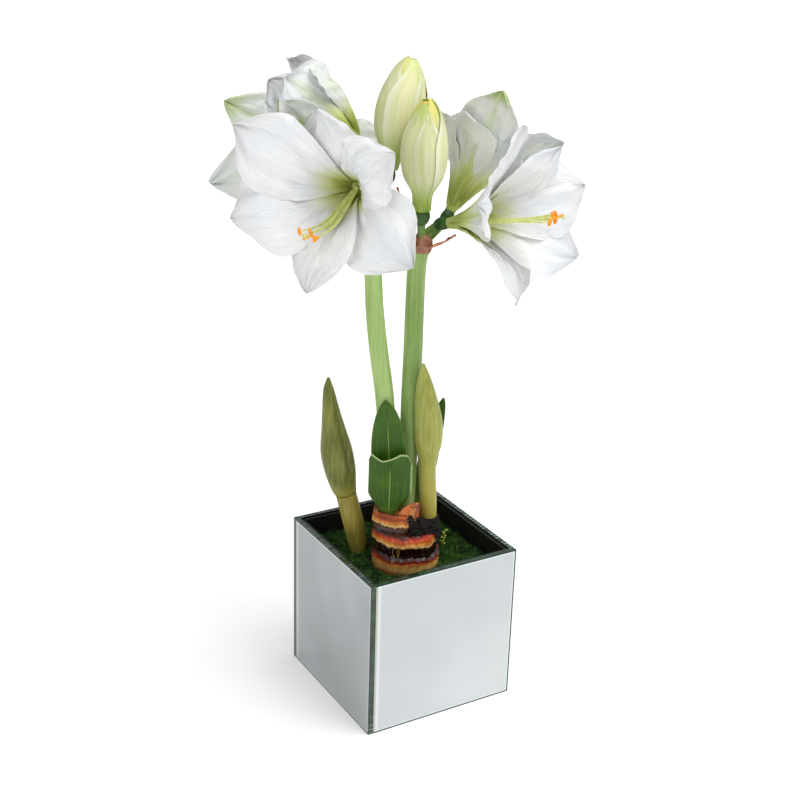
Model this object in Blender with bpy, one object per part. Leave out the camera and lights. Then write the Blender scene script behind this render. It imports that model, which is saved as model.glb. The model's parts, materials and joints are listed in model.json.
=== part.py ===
"""Potted amaryllis: one bulb with two flowering scapes, young scapes and leaves, in a cube of mirror glass.

Metres, +Z up. The origin is the middle of the pot's underside, on the surface that the pot stands on.
The pot's faces look along X and Y. The plant is turned in its pot by PLANT_TURN, and everything that
grows is written in the plant's own frame: X to the right, -Y to the front, Z up from the pot's underside.
Plant tables are in millimetres and degrees, and are changed to metres where a mesh is made.
"""
import math
from dataclasses import dataclass

import bmesh
import bpy
from mathutils import Matrix, Vector

MM = 0.001
GAP = 0.3

POT_SIDE = 150.0
GLASS = 4.5
LINER_WALL = 3.0
LINER_DROP = 1.5
BASE_THICKNESS = 5.0
SOIL_TOP = 121.0
MOSS_TOP = 128.0
MOSS_RELIEF = 2.2
MOSS_CELLS = 12
PLANT_TURN = math.radians(-31.0)

PETAL_THICKNESS = 0.8
PETAL_ROWS = 6
PETAL_COLUMNS = 4
TUBE_HEIGHT = 12.0
TUBE_RADIUS = 6.6
THROAT_ANGLE = 12.0
INNER_CLAW = 4.7
OUTER_CLAW = 5.6
OVARY_LENGTH = 13.0

BULB_SIDES = 18
STEM_SIDES = 9
BUD_LEVELS = 11
BUD_SIDES = 15
FILAMENT_RADIUS = 0.8


@dataclass
class Tepal:
    """One petal: where its tip lies in the bloom's frame, and how its blade is shaped."""
    azimuth: float
    spread: float
    rise: float
    width: float
    tip_angle: float = 95.0
    cup: float = 18.0
    ruffle: float = 2.5
    phase: float = 0.0
    throat: float = THROAT_ANGLE
    widest: float = 0.60


@dataclass
class Bloom:
    """One flower: its base on the ovary, the way it faces, its tepals and its stamens."""
    name: str
    base: tuple
    axis: tuple
    tepals: list
    droop: float = 34.0
    reach: float = 74.0
    stamens: int = 6


@dataclass
class Bud:
    """A closed flower: its base, its tip, its width, its turn about its length and its neck."""
    name: str
    base: tuple
    tip: tuple
    width: float
    turn: float
    neck: float


BLOOMS = [
    Bloom("bloom_left_front", (-42, 3, 472), (-0.42, -0.90, 0.08), [
        Tepal(-53, 92, 74, 68, tip_angle=100, ruffle=3.0, phase=0.1, widest=0.70),
        Tepal(-8, 72, 62, 54, tip_angle=80, ruffle=2.5, phase=0.5),
        Tepal(54, 66, 62, 62, tip_angle=115, ruffle=3.5, phase=0.3, widest=0.66),
        Tepal(126, 85, 46, 78, tip_angle=105, ruffle=3.0, phase=0.8, widest=0.66),
        Tepal(190, 88, 64, 56, tip_angle=100, ruffle=2.0, phase=0.2),
        Tepal(-108, 90, 68, 82, tip_angle=100, ruffle=3.0, phase=0.6, widest=0.66),
    ]),
    Bloom("bloom_left_back", (-52, 24, 474), (-0.50, 0.85, 0.12), [
        Tepal(5, 60, 66, 62, tip_angle=85, phase=0.4),
        Tepal(60, 94, 84, 60, tip_angle=95, phase=0.0),
        Tepal(104, 96, 84, 72, tip_angle=95, phase=0.7),
        Tepal(156, 84, 72, 62, tip_angle=100, phase=0.3),
        Tepal(222, 74, 62, 62, tip_angle=100, phase=0.5),
        Tepal(284, 62, 54, 58, tip_angle=95, phase=0.2),
    ], droop=14.0, reach=78.0),
    Bloom("bloom_left_top", (-46, 14, 507), (-0.77, -0.08, 0.60), [
        Tepal(66, 14, 80, 56, tip_angle=-40, throat=34, cup=46, ruffle=0.5, phase=0.1),
        Tepal(126, 22, 74, 44, tip_angle=-30, throat=40, cup=36, ruffle=0.5, phase=0.5),
        Tepal(186, 20, 78, 46, tip_angle=-20, throat=34, cup=40, ruffle=0.5, phase=0.3),
        Tepal(-110, 24, 82, 44, tip_angle=-20, throat=40, cup=36, ruffle=0.5, phase=0.8),
        Tepal(-50, 14, 80, 46, tip_angle=-40, throat=34, cup=46, ruffle=0.5, phase=0.2),
        Tepal(6, 20, 72, 46, tip_angle=-40, throat=40, cup=36, ruffle=0.5, phase=0.6),
    ], stamens=0),
    Bloom("bloom_right_front", (30, 2, 443), (0.83, -0.50, 0.24), [
        Tepal(-2, 70, 86, 54, tip_angle=60, throat=18, ruffle=3.0, phase=0.2),
        Tepal(40, 60, 94, 48, tip_angle=70, throat=18, ruffle=1.5, phase=0.6),
        Tepal(80, 64, 98, 72, tip_angle=60, throat=16, ruffle=3.0, phase=0.4, widest=0.66),
        Tepal(128, 77, 82, 66, tip_angle=80, throat=16, ruffle=3.0, phase=0.9, widest=0.66),
        Tepal(172, 75, 47, 44, tip_angle=135, throat=16, ruffle=2.5, phase=0.1),
        Tepal(-66, 42, 56, 50, tip_angle=132, throat=16, ruffle=3.0, phase=0.6),
    ], droop=26.0, reach=96.0),
    Bloom("bloom_right_back", (31, 14, 450), (0.45, 0.42, 0.78), [
        Tepal(-8, 44, 70, 64, tip_angle=60, throat=20, ruffle=2.5, phase=0.1, widest=0.72),
        Tepal(52, 56, 74, 54, tip_angle=85, throat=20, ruffle=2.5, phase=0.5),
        Tepal(112, 60, 74, 58, tip_angle=90, throat=20, ruffle=3.0, phase=0.2),
        Tepal(-168, 62, 76, 56, tip_angle=85, throat=20, ruffle=3.0, phase=0.7),
        Tepal(-108, 60, 92, 58, tip_angle=75, throat=22, ruffle=2.0, phase=0.3),
        Tepal(-50, 52, 96, 58, tip_angle=45, throat=24, ruffle=2.0, phase=0.8),
    ], droop=7.0, reach=70.0),
]

BUDS = [
    Bud("bud_left", (-22, 10, 486), (-5, 24, 577), 42, 20, 15),
    Bud("bud_right", (7, -5, 456), (9, -20, 551), 38, 75, 15),
]

# A bud's outline above its neck: height and half-width, as shares of its length and its greatest half-width.
BUD_PROFILE = [(0.15, 0.46), (0.31, 0.86), (0.49, 1.0), (0.67, 0.92), (0.85, 0.68), (0.95, 0.46), (1.0, 0.20)]

# Stem knots: x, y, z and radius.
SCAPE_LEFT = [(-15.8, -4, 167, 6.8), (-16.0, -4, 190, 7.2), (-18.9, -5, 273, 8.2), (-26.4, -6, 331, 8.2),
              (-30.5, -6, 367, 7.9), (-32.2, -6, 394, 7.6), (-35.2, -6, 436, 7.6)]
SCAPE_RIGHT = [(2.5, -4, 167, 6.8), (2.5, -4, 190, 7.2), (2.8, 2, 270, 8.5), (3.6, 5, 328, 8.4),
               (3.8, 6, 364, 8.3), (4.6, 5, 405, 8.2), (8.6, 4, 426, 8.2)]
YOUNG_SCAPE_LEFT = [(-40.5, 2, 100, 5.0), (-41.0, 2, 122, 5.6), (-42.2, 1, 138, 8.4), (-45.0, 0, 156, 9.6),
                    (-49.0, 0, 172, 9.6), (-53.0, 0, 188, 9.4)]
YOUNG_BUD_LEFT = [(-53.2, 0, 188.9, 9.2), (-53.75, 0, 191.1, 10.4), (-56.0, 0, 199, 12.2), (-58.8, 0, 213, 14.2),
                  (-62.4, 0, 232, 14.4), (-65.6, 0, 255, 10.4), (-67.8, 0, 272, 7.6), (-69.8, 0, 290, 4.8),
                  (-70.0, 0, 301, 1.2)]
YOUNG_SCAPE_RIGHT = [(21.5, -2, 151, 7.0), (22.3, -2, 166, 7.6), (21.7, -4, 190, 7.7), (20.1, -6, 214, 7.7),
                     (19.7, -8, 230, 8.7), (20.0, -9, 246, 12.0), (19.4, -9, 265, 12.4), (16.4, -9, 288, 9.8),
                     (14.2, -9, 306, 6.0), (13.1, -9, 320, 1.2)]
YOUNG_DEPTH = 0.9
SCAPE_DEPTH = 0.82

# Bulb levels: height, radius, the middle's x and y, and how far the layer's edge wanders up and down.
BULB_LEVELS = [(97, 12, 2, -12, 0), (101, 18, 2, -12, 0), (112, 26, 2, -12, 0), (124, 29.6, 2, -12, 0),
               (131, 30.6, 2, -12, 0), (137, 31, 2, -12, 1), (139, 28.6, 1.5, -12, 1), (148, 27.2, 1.5, -12, 1),
               (149.5, 29.6, 1.5, -12, 1), (156.5, 28.8, 1, -12, 0.8), (160, 25, -2, -12, 0.6),
               (161.5, 20.6, -6.5, -11, 0.6), (167, 19.4, -6.5, -11, 0.8), (168.5, 21.6, -6.5, -11, 0.8),
               (176, 20.6, -6.5, -11, 0.4), (182, 19.6, -6.5, -11, 0)]
SLEEVE = [(22.5, -2, 142, 9.4), (22.5, -2, 158, 10.2), (22.3, -2, 170, 9.6)]


def clear_scene():
    """Remove every object, so that the script gives the same result each run."""
    for old in list(bpy.data.objects):
        bpy.data.objects.remove(old)


def finish(name, colour, roughness, metallic=0.0):
    """A Principled material with one colour."""
    material = bpy.data.materials.new(name)
    material.use_nodes = True
    shader = material.node_tree.nodes["Principled BSDF"]
    shader.inputs["Base Color"].default_value = (*colour, 1.0)
    shader.inputs["Roughness"].default_value = roughness
    shader.inputs["Metallic"].default_value = metallic
    material.diffuse_color = (*colour, 1.0)
    return material


def mesh_object(name, points, faces, smooth_angle=40.0):
    """Object from points in millimetres, with its faces turned outward."""
    mesh = bpy.data.meshes.new(name)
    mesh.from_pydata([Vector(p) * MM for p in points], [], faces)
    shape = bmesh.new()
    shape.from_mesh(mesh)
    bmesh.ops.recalc_face_normals(shape, faces=shape.faces)
    shape.to_mesh(mesh)
    shape.free()
    mesh.shade_smooth()
    mesh.set_sharp_from_angle(angle=math.radians(smooth_angle))
    made = bpy.data.objects.new(name, mesh)
    bpy.context.collection.objects.link(made)
    return made


def dress(made, material, parent=None):
    """Give an object its material and its parent."""
    made.data.materials.clear()
    made.data.materials.append(material)
    made.parent = parent
    return made


def box(name, low, high):
    """Closed box between two corners."""
    corners = [(x, y, z) for z in (low[2], high[2]) for y in (low[1], high[1]) for x in (low[0], high[0])]
    faces = [(0, 2, 3, 1), (4, 5, 7, 6), (0, 1, 5, 4), (2, 6, 7, 3), (0, 4, 6, 2), (1, 3, 7, 5)]
    return mesh_object(name, corners, faces)


def loft(name, rings):
    """Closed solid through rings that all have the same number of points."""
    sides = len(rings[0])
    points = [p for ring in rings for p in ring]
    faces = [tuple(range(sides)), tuple(range(len(points) - sides, len(points)))]
    for level in range(len(rings) - 1):
        for k in range(sides):
            a = level * sides + k
            b = level * sides + (k + 1) % sides
            faces.append((a, b, b + sides, a + sides))
    return mesh_object(name, points, faces)


def smooth_path(knots, steps):
    """Points of a Catmull-Rom curve through the knots, steps to each stretch."""
    knots = [Vector(k) for k in knots]
    ends = [2 * knots[0] - knots[1]] + knots + [2 * knots[-1] - knots[-2]]
    path = []
    for a, b, c, d in zip(ends, ends[1:], ends[2:], ends[3:]):
        for i in range(steps):
            t = i / steps
            path.append(0.5 * (2 * b + (c - a) * t + (2 * a - 5 * b + 4 * c - d) * t * t
                               + (3 * b - a - 3 * c + d) * t ** 3))
    return path + [knots[-1]]


def stem(name, knots, sides=STEM_SIDES, steps=2, depth=1.0, grow=0.0):
    """Closed round solid along knots of x, y, z and radius; depth flattens it from front to back."""
    path = smooth_path(knots, steps)
    rings = []
    side = Vector((1, 0, 0))
    for i, knot in enumerate(path):
        after, before = path[min(i + 1, len(path) - 1)], path[max(i - 1, 0)]
        along = (after.to_3d() - before.to_3d()).normalized()
        side = (side - along * side.dot(along)).normalized()
        front = along.cross(side) * depth
        radius = max(knot[3], 0.5) + grow
        turns = [2 * math.pi * (k + 0.5) / sides for k in range(sides)]
        rings.append([knot.to_3d() + (side * math.cos(t) + front * math.sin(t)) * radius for t in turns])
    return loft(name, rings)


def blade(name, surface, rows, columns, thickness):
    """Closed thin solid round surface(s, v), where s runs root to tip and v from one edge to the other.

    Both faces are split into the same triangles, so a waved blade never meets itself.
    """
    step = 0.002
    front, back = [], []
    for i in range(rows + 1):
        for j in range(columns + 1):
            s, v = i / rows, 2 * j / columns - 1
            along = surface(min(s + step, 1), v) - surface(max(s - step, 0), v)
            across = surface(s, min(v + step, 1)) - surface(s, max(v - step, -1))
            offset = along.cross(across).normalized() * (thickness / 2)
            front.append(surface(s, v) + offset)
            back.append(surface(s, v) - offset)
    wide = columns + 1
    shift = len(front)
    faces = []
    for i in range(rows):
        for j in range(columns):
            a = i * wide + j
            b, c, d = a + 1, a + wide + 1, a + wide
            faces += [(a, b, c), (a, c, d), (a + shift, c + shift, b + shift), (a + shift, d + shift, c + shift)]
    rim = [j for j in range(wide)] + [i * wide + columns for i in range(1, rows + 1)]
    rim += [rows * wide + j for j in range(columns - 1, -1, -1)] + [i * wide for i in range(rows - 1, 0, -1)]
    for a, b in zip(rim, rim[1:] + rim[:1]):
        faces.append((a, a + shift, b + shift, b))
    return mesh_object(name, front + back, faces)


def keep_main_body(mesh):
    """Drop loose scraps and the walls of sealed hollows, which leaves one solid."""
    shape = bmesh.new()
    shape.from_mesh(mesh)
    bodies, seen = [], set()
    for first in shape.verts:
        if first in seen:
            continue
        body, open_ends = [], [first]
        seen.add(first)
        while open_ends:
            here = open_ends.pop()
            body.append(here)
            for edge in here.link_edges:
                other = edge.other_vert(here)
                if other not in seen:
                    seen.add(other)
                    open_ends.append(other)
        bodies.append(body)
    bodies.sort(key=len)
    bmesh.ops.delete(shape, geom=[vert for body in bodies[:-1] for vert in body], context="VERTS")
    shape.to_mesh(mesh)
    shape.free()
    return mesh


def combine(target, others, operation="UNION", solver="EXACT"):
    """Apply one Boolean of target with several solids, and remove those."""
    group = bpy.data.collections.new(target.name + "_pieces")
    for other in others:
        group.objects.link(other)
    modifier = target.modifiers.new("combine", "BOOLEAN")
    modifier.operation = operation
    modifier.solver = solver
    modifier.operand_type = "COLLECTION"
    modifier.collection = group
    bpy.context.view_layer.update()
    graph = bpy.context.evaluated_depsgraph_get()
    mesh = bpy.data.meshes.new_from_object(target.evaluated_get(graph))
    target.modifiers.clear()
    target.data = keep_main_body(mesh)
    for other in others:
        bpy.data.objects.remove(other)
    bpy.data.collections.remove(group)
    return target


def bloom_frame(base, axis):
    """Matrix from a bloom's own frame, Z along its axis and Y upward, to the plant's frame."""
    forward = Vector(axis).normalized()
    up = (Vector((0, 0, 1)) - forward * forward.z).normalized()
    right = up.cross(forward)
    turn = Matrix((right, up, forward)).transposed()
    return Matrix.Translation(Vector(base)) @ turn.to_4x4()


def ease(t):
    """Smooth step from 0 to 1."""
    t = min(max(t, 0.0), 1.0)
    return t * t * (3 - 2 * t)


def bezier(a, b, c, d, t):
    """Point of a cubic Bezier curve."""
    return a * (1 - t) ** 3 + b * 3 * t * (1 - t) ** 2 + c * 3 * t * t * (1 - t) + d * t ** 3


def polar(radius, azimuth, height):
    """Point at a radius and a height, its azimuth measured from +Y toward +X."""
    return Vector((radius * math.sin(azimuth), radius * math.cos(azimuth), height))


def tepal_half_width(tepal, s):
    """Half the blade's width: narrow in the tube, widest past the middle, pointed at the tip."""
    root, point = 5.0, 0.72
    full, widest = tepal.width / 2, tepal.widest
    if s < widest:
        q = s / widest
        return root + (full - root) * q * q * (3 - 2 * q)
    q = (s - widest) / (1 - widest)
    return max(full * (1 - q * q) ** point, 0.7)


def tepal_surface(tepal, claw):
    """The function surface(s, v) of one tepal in its bloom's frame; claw is its radius in the tube."""
    flare, tip = math.radians(tepal.throat), math.radians(tepal.tip_angle)
    start = Vector((claw, 5.0))
    end = Vector((tepal.spread, tepal.rise))
    lead = start + Vector((math.sin(flare), math.cos(flare))) * tepal.rise * 0.55
    trail = end - Vector((math.sin(tip), math.cos(tip))) * tepal.spread * 0.5

    def midrib(s):
        place = bezier(start, lead, trail, end, s)
        return polar(place.x, math.radians(tepal.azimuth), place.y)

    def surface(s, v):
        here = midrib(s)
        along = (midrib(min(s + 0.01, 1)) - midrib(max(s - 0.01, 0))).normalized()
        outward = polar(1, math.radians(tepal.azimuth), 0)
        across = Vector((0, 0, 1)).cross(outward).normalized()
        across = (across - along * across.dot(along)).normalized()
        inward = along.cross(across)
        if inward.dot(outward - Vector((0, 0, 1))) > 0:
            inward = -inward
        half = tepal_half_width(tepal, s)
        bend = math.radians(62 * (1 - s) ** 3 + tepal.cup * (1 - s) * 2 - 22 * s)
        bend = bend if abs(bend) > 0.01 else 0.01
        rim = math.sin(2 * math.pi * (2.2 * s + tepal.phase) + (1.9 if v > 0 else 0.0))
        lift = half * (1 - math.cos(bend * v)) / bend + tepal.ruffle * s * abs(v) ** 2.5 * rim
        return here + across * half * math.sin(bend * v) / bend + inward * lift

    return surface


def make_bloom(bloom, petal, pollen, parent):
    """Six tepals fused with their tube, and the stamens that stand in the tube."""
    place = bloom_frame(bloom.base, bloom.axis)
    half = TUBE_HEIGHT / 2
    tube = loft(bloom.name, [[place @ polar(radius, 2 * math.pi * k / 12, height) for k in range(12)]
                             for height, radius in ((GAP, 4.6), (half, 5.6), (TUBE_HEIGHT, TUBE_RADIUS))])
    petals = []
    for number, tepal in enumerate(bloom.tepals):
        own = tepal_surface(tepal, OUTER_CLAW if number % 2 else INNER_CLAW)
        placed = lambda s, v, own=own: place @ own(s, v)
        petals.append(blade(f"{bloom.name}_{number}", placed, PETAL_ROWS, PETAL_COLUMNS, PETAL_THICKNESS))
    dress(combine(tube, petals, solver="MANIFOLD"), petal, parent)
    if bloom.stamens:
        make_stamens(bloom, place, pollen, parent)


def make_stamens(bloom, place, pollen, parent):
    """Filaments with their anthers and the longer style, rising from one small cushion in the tube."""
    down = (place.to_3x3().inverted() @ Vector((0, 0, -1)))
    down = Vector((down.x, down.y, 0)).normalized()
    sideways = Vector((down.y, -down.x, 0))
    foot = TUBE_HEIGHT + GAP
    cushion = loft(bloom.name + "_stamens", [[place @ polar(radius, 2 * math.pi * k / 8, height)
                                              for k in range(8)]
                                             for height, radius in ((foot, 2.6), (foot + 3.5, 2.0))])
    threads = []
    for number in range(bloom.stamens + 1):
        style = number == bloom.stamens
        fan = 0.0 if style else (number - (bloom.stamens - 1) / 2) / bloom.stamens
        reach = bloom.reach + (8.0 if style else 3.0 * math.cos(2.4 * number))
        root = Vector((0, 0, foot + 1.5)) + sideways * fan * 3.0
        low = down * bloom.droop * 0.75 + Vector((0, 0, foot + reach * 0.5)) + sideways * fan * 9.0
        tip = down * (bloom.droop + 3.0 * math.sin(2.1 * number)) + Vector((0, 0, reach)) + sideways * fan * 16.0
        knots = [(*(place @ point), FILAMENT_RADIUS) for point in (root, low, tip)]
        threads.append(stem(f"{bloom.name}_thread_{number}", knots, 3))
        if not style:
            long = sideways * 3.4 * math.cos(number) + down * 3.4 * math.sin(number)
            ends = [(*(place @ (tip + long * end)), 1.5 - 0.9 * abs(end)) for end in (-1, 0, 1)]
            threads.append(stem(f"{bloom.name}_anther_{number}", ends, 4, 1))
    dress(combine(cushion, threads, solver="MANIFOLD"), pollen, parent)


def bud_radius(bud, s, turn):
    """Radius of a closed bud at s from neck to tip, with three tepals that lap over each other."""
    spots = [(0.0, bud.neck / bud.width), *BUD_PROFILE]
    for (low, a), (high, b) in zip(spots, spots[1:]):
        if s <= high:
            share = a + (b - a) * ease((s - low) / (high - low))
            break
    lap = (3 * turn / (2 * math.pi) + 0.35 * s) % 1.0
    return bud.width / 2 * share * (0.94 + 0.10 * lap)


def make_bud(bud, petal, parent):
    """Closed bud on its base, with the laps of its outer tepals as low ridges."""
    base, tip = Vector(bud.base), Vector(bud.tip)
    place = bloom_frame(base, tip - base)
    length = (tip - base).length
    rings = []
    for level in range(BUD_LEVELS + 1):
        s = level / BUD_LEVELS
        ring = []
        for k in range(BUD_SIDES):
            turn = 2 * math.pi * k / BUD_SIDES
            radius = bud_radius(bud, s, turn)
            ring.append(place @ polar(radius, turn + math.radians(bud.turn), GAP + s * length))
        rings.append(ring)
    dress(loft(bud.name, rings), petal, parent)


def make_scape(name, knots, ovaries, material, parent):
    """Flowering scape with its knob, and a pedicel with a swollen ovary for each flower of the umbel."""
    scape = stem(name, knots, depth=SCAPE_DEPTH)
    top = Vector(knots[-1][:3])
    knob = [(*(top + Vector((0, 0, rise))), radius) for rise, radius in ((-9, 7.2), (-2, 8.8), (4, 7.4))]
    pieces = [stem(name + "_knob", knob)]
    for number, (base, axis, wide) in enumerate(ovaries):
        base, axis = Vector(base), Vector(axis).normalized()
        foot = base - axis * OVARY_LENGTH
        middle = (foot + top) / 2 - axis * 3.0
        pedicel = [(*top, 3.6), (*middle, 3.4), (*(foot + axis * 3.0), 3.4)]
        ovary = [(*foot, wide * 0.62), (*(base - axis * OVARY_LENGTH / 2), wide), (*base, wide * 0.82)]
        pieces.append(stem(f"{name}_pedicel_{number}", pedicel, 6))
        pieces.append(stem(f"{name}_ovary_{number}", ovary, 8))
    return dress(combine(scape, pieces), material, parent)


def strap(root, bend, tip, half_width, facing, curl):
    """The function surface(s, v) of a leaf: a curved midrib, a width profile and a rolled section."""
    root, bend, tip = Vector(root), Vector(bend), Vector(tip)
    facing = Vector(facing).normalized()
    roll = math.radians(curl)

    def surface(s, v):
        here = root * (1 - s) ** 2 + bend * 2 * s * (1 - s) + tip * s * s
        along = ((bend - root) * (1 - s) + (tip - bend) * s).normalized()
        across = along.cross(facing).normalized()
        outward = across.cross(along)
        half = half_width(s)
        return here + across * half * math.sin(roll * v) / roll - outward * half * (1 - math.cos(roll * v)) / roll

    return surface


def pointed(root, full, widest, sharpness=0.75):
    """Half-width that grows from root to full at the widest place, and closes to a point."""
    def half_width(s):
        if s < widest:
            return root + (full - root) * ease(s / widest)
        q = (s - widest) / (1 - widest)
        return max(full * (1 - q * q) ** sharpness, 0.8)
    return half_width


def trimmed(root, full, start, end):
    """Half-width that swells from root to full between start and end, and then stays."""
    return lambda s: root + (full - root) * ease((s - start) / (end - start))


# Leaves: root, bend and tip of the midrib, half-width, the side that it faces, roll, and thickness.
LEAVES = {
    "leaf_front": ((-14, -22.5, 169), (-13, -25, 205), (-13, -29, 237), trimmed(5.0, 21.0, 0.22, 0.60),
                   (0, -1, 0.05), 42, 1.4),
    "leaf_back": ((-13, -14.5, 169), (-13, -15.5, 225), (-18.5, -15.5, 287), pointed(5.0, 15.8, 0.60, 0.6),
                  (0, 1, 0), 20, 1.4),
    "leaf_right": ((12, 9, 156), (18, 21, 215), (33, 20, 277), pointed(5.0, 9.0, 0.5, 0.6), (0, 1, 0), 20, 1.4),
}
LEAF_ROWS, LEAF_COLUMNS = 9, 4


def make_leaf(name, grow=0.0):
    """One leaf, or with grow the slot that it stands in."""
    root, bend, tip, half_width, facing, curl, thickness = LEAVES[name]
    wider = lambda s: half_width(s) + grow
    root = Vector(root) - Vector((0, 0, grow))
    surface = strap(root, bend, tip, wider, facing, curl)
    return blade(name, surface, LEAF_ROWS, LEAF_COLUMNS, thickness + 2 * grow)


def bulb_body(name, grow=0.0):
    """The bulb's layered body: each dry layer ends in a lip that stands over a darker, slimmer band."""
    rings = []
    for height, radius, x, y, wander in BULB_LEVELS:
        ring = []
        for k in range(BULB_SIDES):
            turn = 2 * math.pi * k / BULB_SIDES
            rise = wander * (1.5 * math.sin(2 * turn + 0.7) + 0.7 * math.sin(5 * turn))
            wide = radius + grow + 0.5 * math.sin(3 * turn + height / 9)
            ring.append(Vector((x, y, height + rise)) + polar(wide, turn, 0))
        rings.append(ring)
    rings[0] = [p - Vector((0, 0, grow)) for p in rings[0]]
    return loft(name, rings)


def make_bulb(material, parent):
    """The bulb with its torn flap and the sleeve round the young scape, and a socket for each stem and leaf."""
    bulb = bulb_body("bulb")
    flap_surface = strap((-2, -29, 172), (6, -30, 186), (14, -21, 191), pointed(8.0, 8.0, 0.35, 0.8),
                         (0.2, -1, 0.3), 25)
    flap = blade("bulb_flap", flap_surface, 6, 3, 1.2)
    sleeve = stem("bulb_sleeve", SLEEVE, 12)
    combine(bulb, [flap, sleeve], solver="MANIFOLD")
    room = 1.0
    sockets = [stem("socket", [(*knots[0][:2], knots[0][2] - GAP, 7.2), (*knots[1][:2], knots[1][2] + 20, 7.2)],
                    STEM_SIDES, 2, SCAPE_DEPTH, room) for knots in (SCAPE_LEFT, SCAPE_RIGHT)]
    young = [(*YOUNG_SCAPE_RIGHT[0][:2], YOUNG_SCAPE_RIGHT[0][2] - GAP, 7.0)] + YOUNG_SCAPE_RIGHT[1:4]
    sockets.append(stem("socket", young, STEM_SIDES, 2, YOUNG_DEPTH, GAP))
    sockets += [make_leaf(name, GAP) for name in LEAVES]
    combine(bulb, sockets, "DIFFERENCE", "MANIFOLD")
    return dress(bulb, material, parent)


# Bracts: tip, how far the blade bows out and up, half-width, and the root's distance from the knob's middle.
BRACTS = {
    "bract_left": (((-62, -2, 462), (14, 12), 7.5, 9.3), ((-20, 14, 452), (10, 10), 7.5, 9.3)),
    "bract_right": (((-14, -8, 475), (2, 22), 7.0, 10.6), ((36, -12, 437), (12, 5), 7.0, 9.2)),
}


def make_bracts(name, knots, material, parent):
    """Two papery bracts that stand against the knob of a flowering scape."""
    top = Vector(knots[-1][:3])
    for side, (tip, lift, wide, seat) in zip(("a", "b"), BRACTS[name]):
        tip = Vector(tip)
        outward = Vector((tip.x - top.x, tip.y - top.y, 0)).normalized()
        root = top + outward * seat - Vector((0, 0, 4))
        bend = root + outward * lift[0] + Vector((0, 0, lift[1]))
        surface = strap(root, bend, tip, pointed(wide * 0.8, wide, 0.3, 0.9), outward, 30)
        dress(blade(f"{name}_{side}", surface, 7, 4, 0.8), material, parent)


def make_pot(mirror, backing, liner_black):
    """Four mirror panels, each covering the next one's end, a base between them and a liner inside."""
    half, inner = POT_SIDE / 2, POT_SIDE / 2 - GLASS
    for number, name in enumerate(("front", "right", "back", "left")):
        panel = box("pot_panel_" + name, (-inner + GAP, -half, 0), (half, -inner, POT_SIDE))
        panel.rotation_euler.z = number * math.pi / 2
        dress(panel, mirror)
    room = inner - GAP
    dress(box("pot_base", (-room, -room, 0), (room, room, BASE_THICKNESS)), backing)
    low, high = BASE_THICKNESS + GAP, POT_SIDE - LINER_DROP
    liner = box("pot_liner", (-room, -room, low), (room, room, high))
    hollow = room - LINER_WALL
    cutter = box("liner_hollow", (-hollow, -hollow, low + LINER_WALL), (hollow, hollow, high + 10))
    dress(combine(liner, [cutter], "DIFFERENCE", "MANIFOLD"), liner_black)
    return hollow - GAP, low + LINER_WALL + GAP


def moss_height(x, y):
    """Low cushions of moss, by a sum of waves."""
    waves = (math.sin(x / 7.1 + 0.6) * math.cos(y / 6.3 + 1.1) + 0.6 * math.sin((x + y) / 4.7)
             + 0.5 * math.cos((x - 1.3 * y) / 5.9 + 2.0))
    return MOSS_TOP + MOSS_RELIEF * waves / 2


def make_moss(name, room):
    """A mat with a cushioned top, as wide as the liner is inside."""
    count = MOSS_CELLS + 1
    places = [-room + 2 * room * i / MOSS_CELLS for i in range(count)]
    points = [(x, y, moss_height(x, y)) for y in places for x in places]
    points += [(x, y, SOIL_TOP + GAP) for y in places for x in places]
    under = count * count
    faces = []
    for j in range(MOSS_CELLS):
        for i in range(MOSS_CELLS):
            a = j * count + i
            faces += [(a, a + 1, a + count + 1), (a, a + count + 1, a + count)]
    rim = [i for i in range(count)] + [j * count + MOSS_CELLS for j in range(1, count)]
    rim += [MOSS_CELLS * count + i for i in range(MOSS_CELLS - 1, -1, -1)]
    rim += [j * count for j in range(MOSS_CELLS - 1, 0, -1)]
    for a, b in zip(rim, rim[1:] + rim[:1]):
        faces.append((a, a + under, b + under, b))
    faces.append(tuple(a + under for a in rim))
    used = sorted({k for face in faces for k in face})
    order = {k: n for n, k in enumerate(used)}
    return mesh_object(name, [points[k] for k in used], [tuple(order[k] for k in face) for face in faces])


def make_ground(room, floor, soil_dark, moss_green, parent):
    """Soil and moss in the liner, with a pocket for the bulb and a plain hole for the young scape."""
    soil = box("soil", (-room, -room, floor), (room, room, SOIL_TOP))
    moss = make_moss("moss", room)
    for ground, material in ((soil, soil_dark), (moss, moss_green)):
        young = [(*YOUNG_SCAPE_LEFT[0][:2], YOUNG_SCAPE_LEFT[0][2] - GAP, 5.0)] + YOUNG_SCAPE_LEFT[1:4]
        cutters = [bulb_body("pocket", 2 * GAP), stem("hole", young, STEM_SIDES, 2, YOUNG_DEPTH, 2 * GAP)]
        for cutter in cutters:
            cutter.matrix_world = parent.matrix_world
        bpy.context.view_layer.update()
        dress(combine(ground, cutters, "DIFFERENCE", "MANIFOLD"), material)


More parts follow.
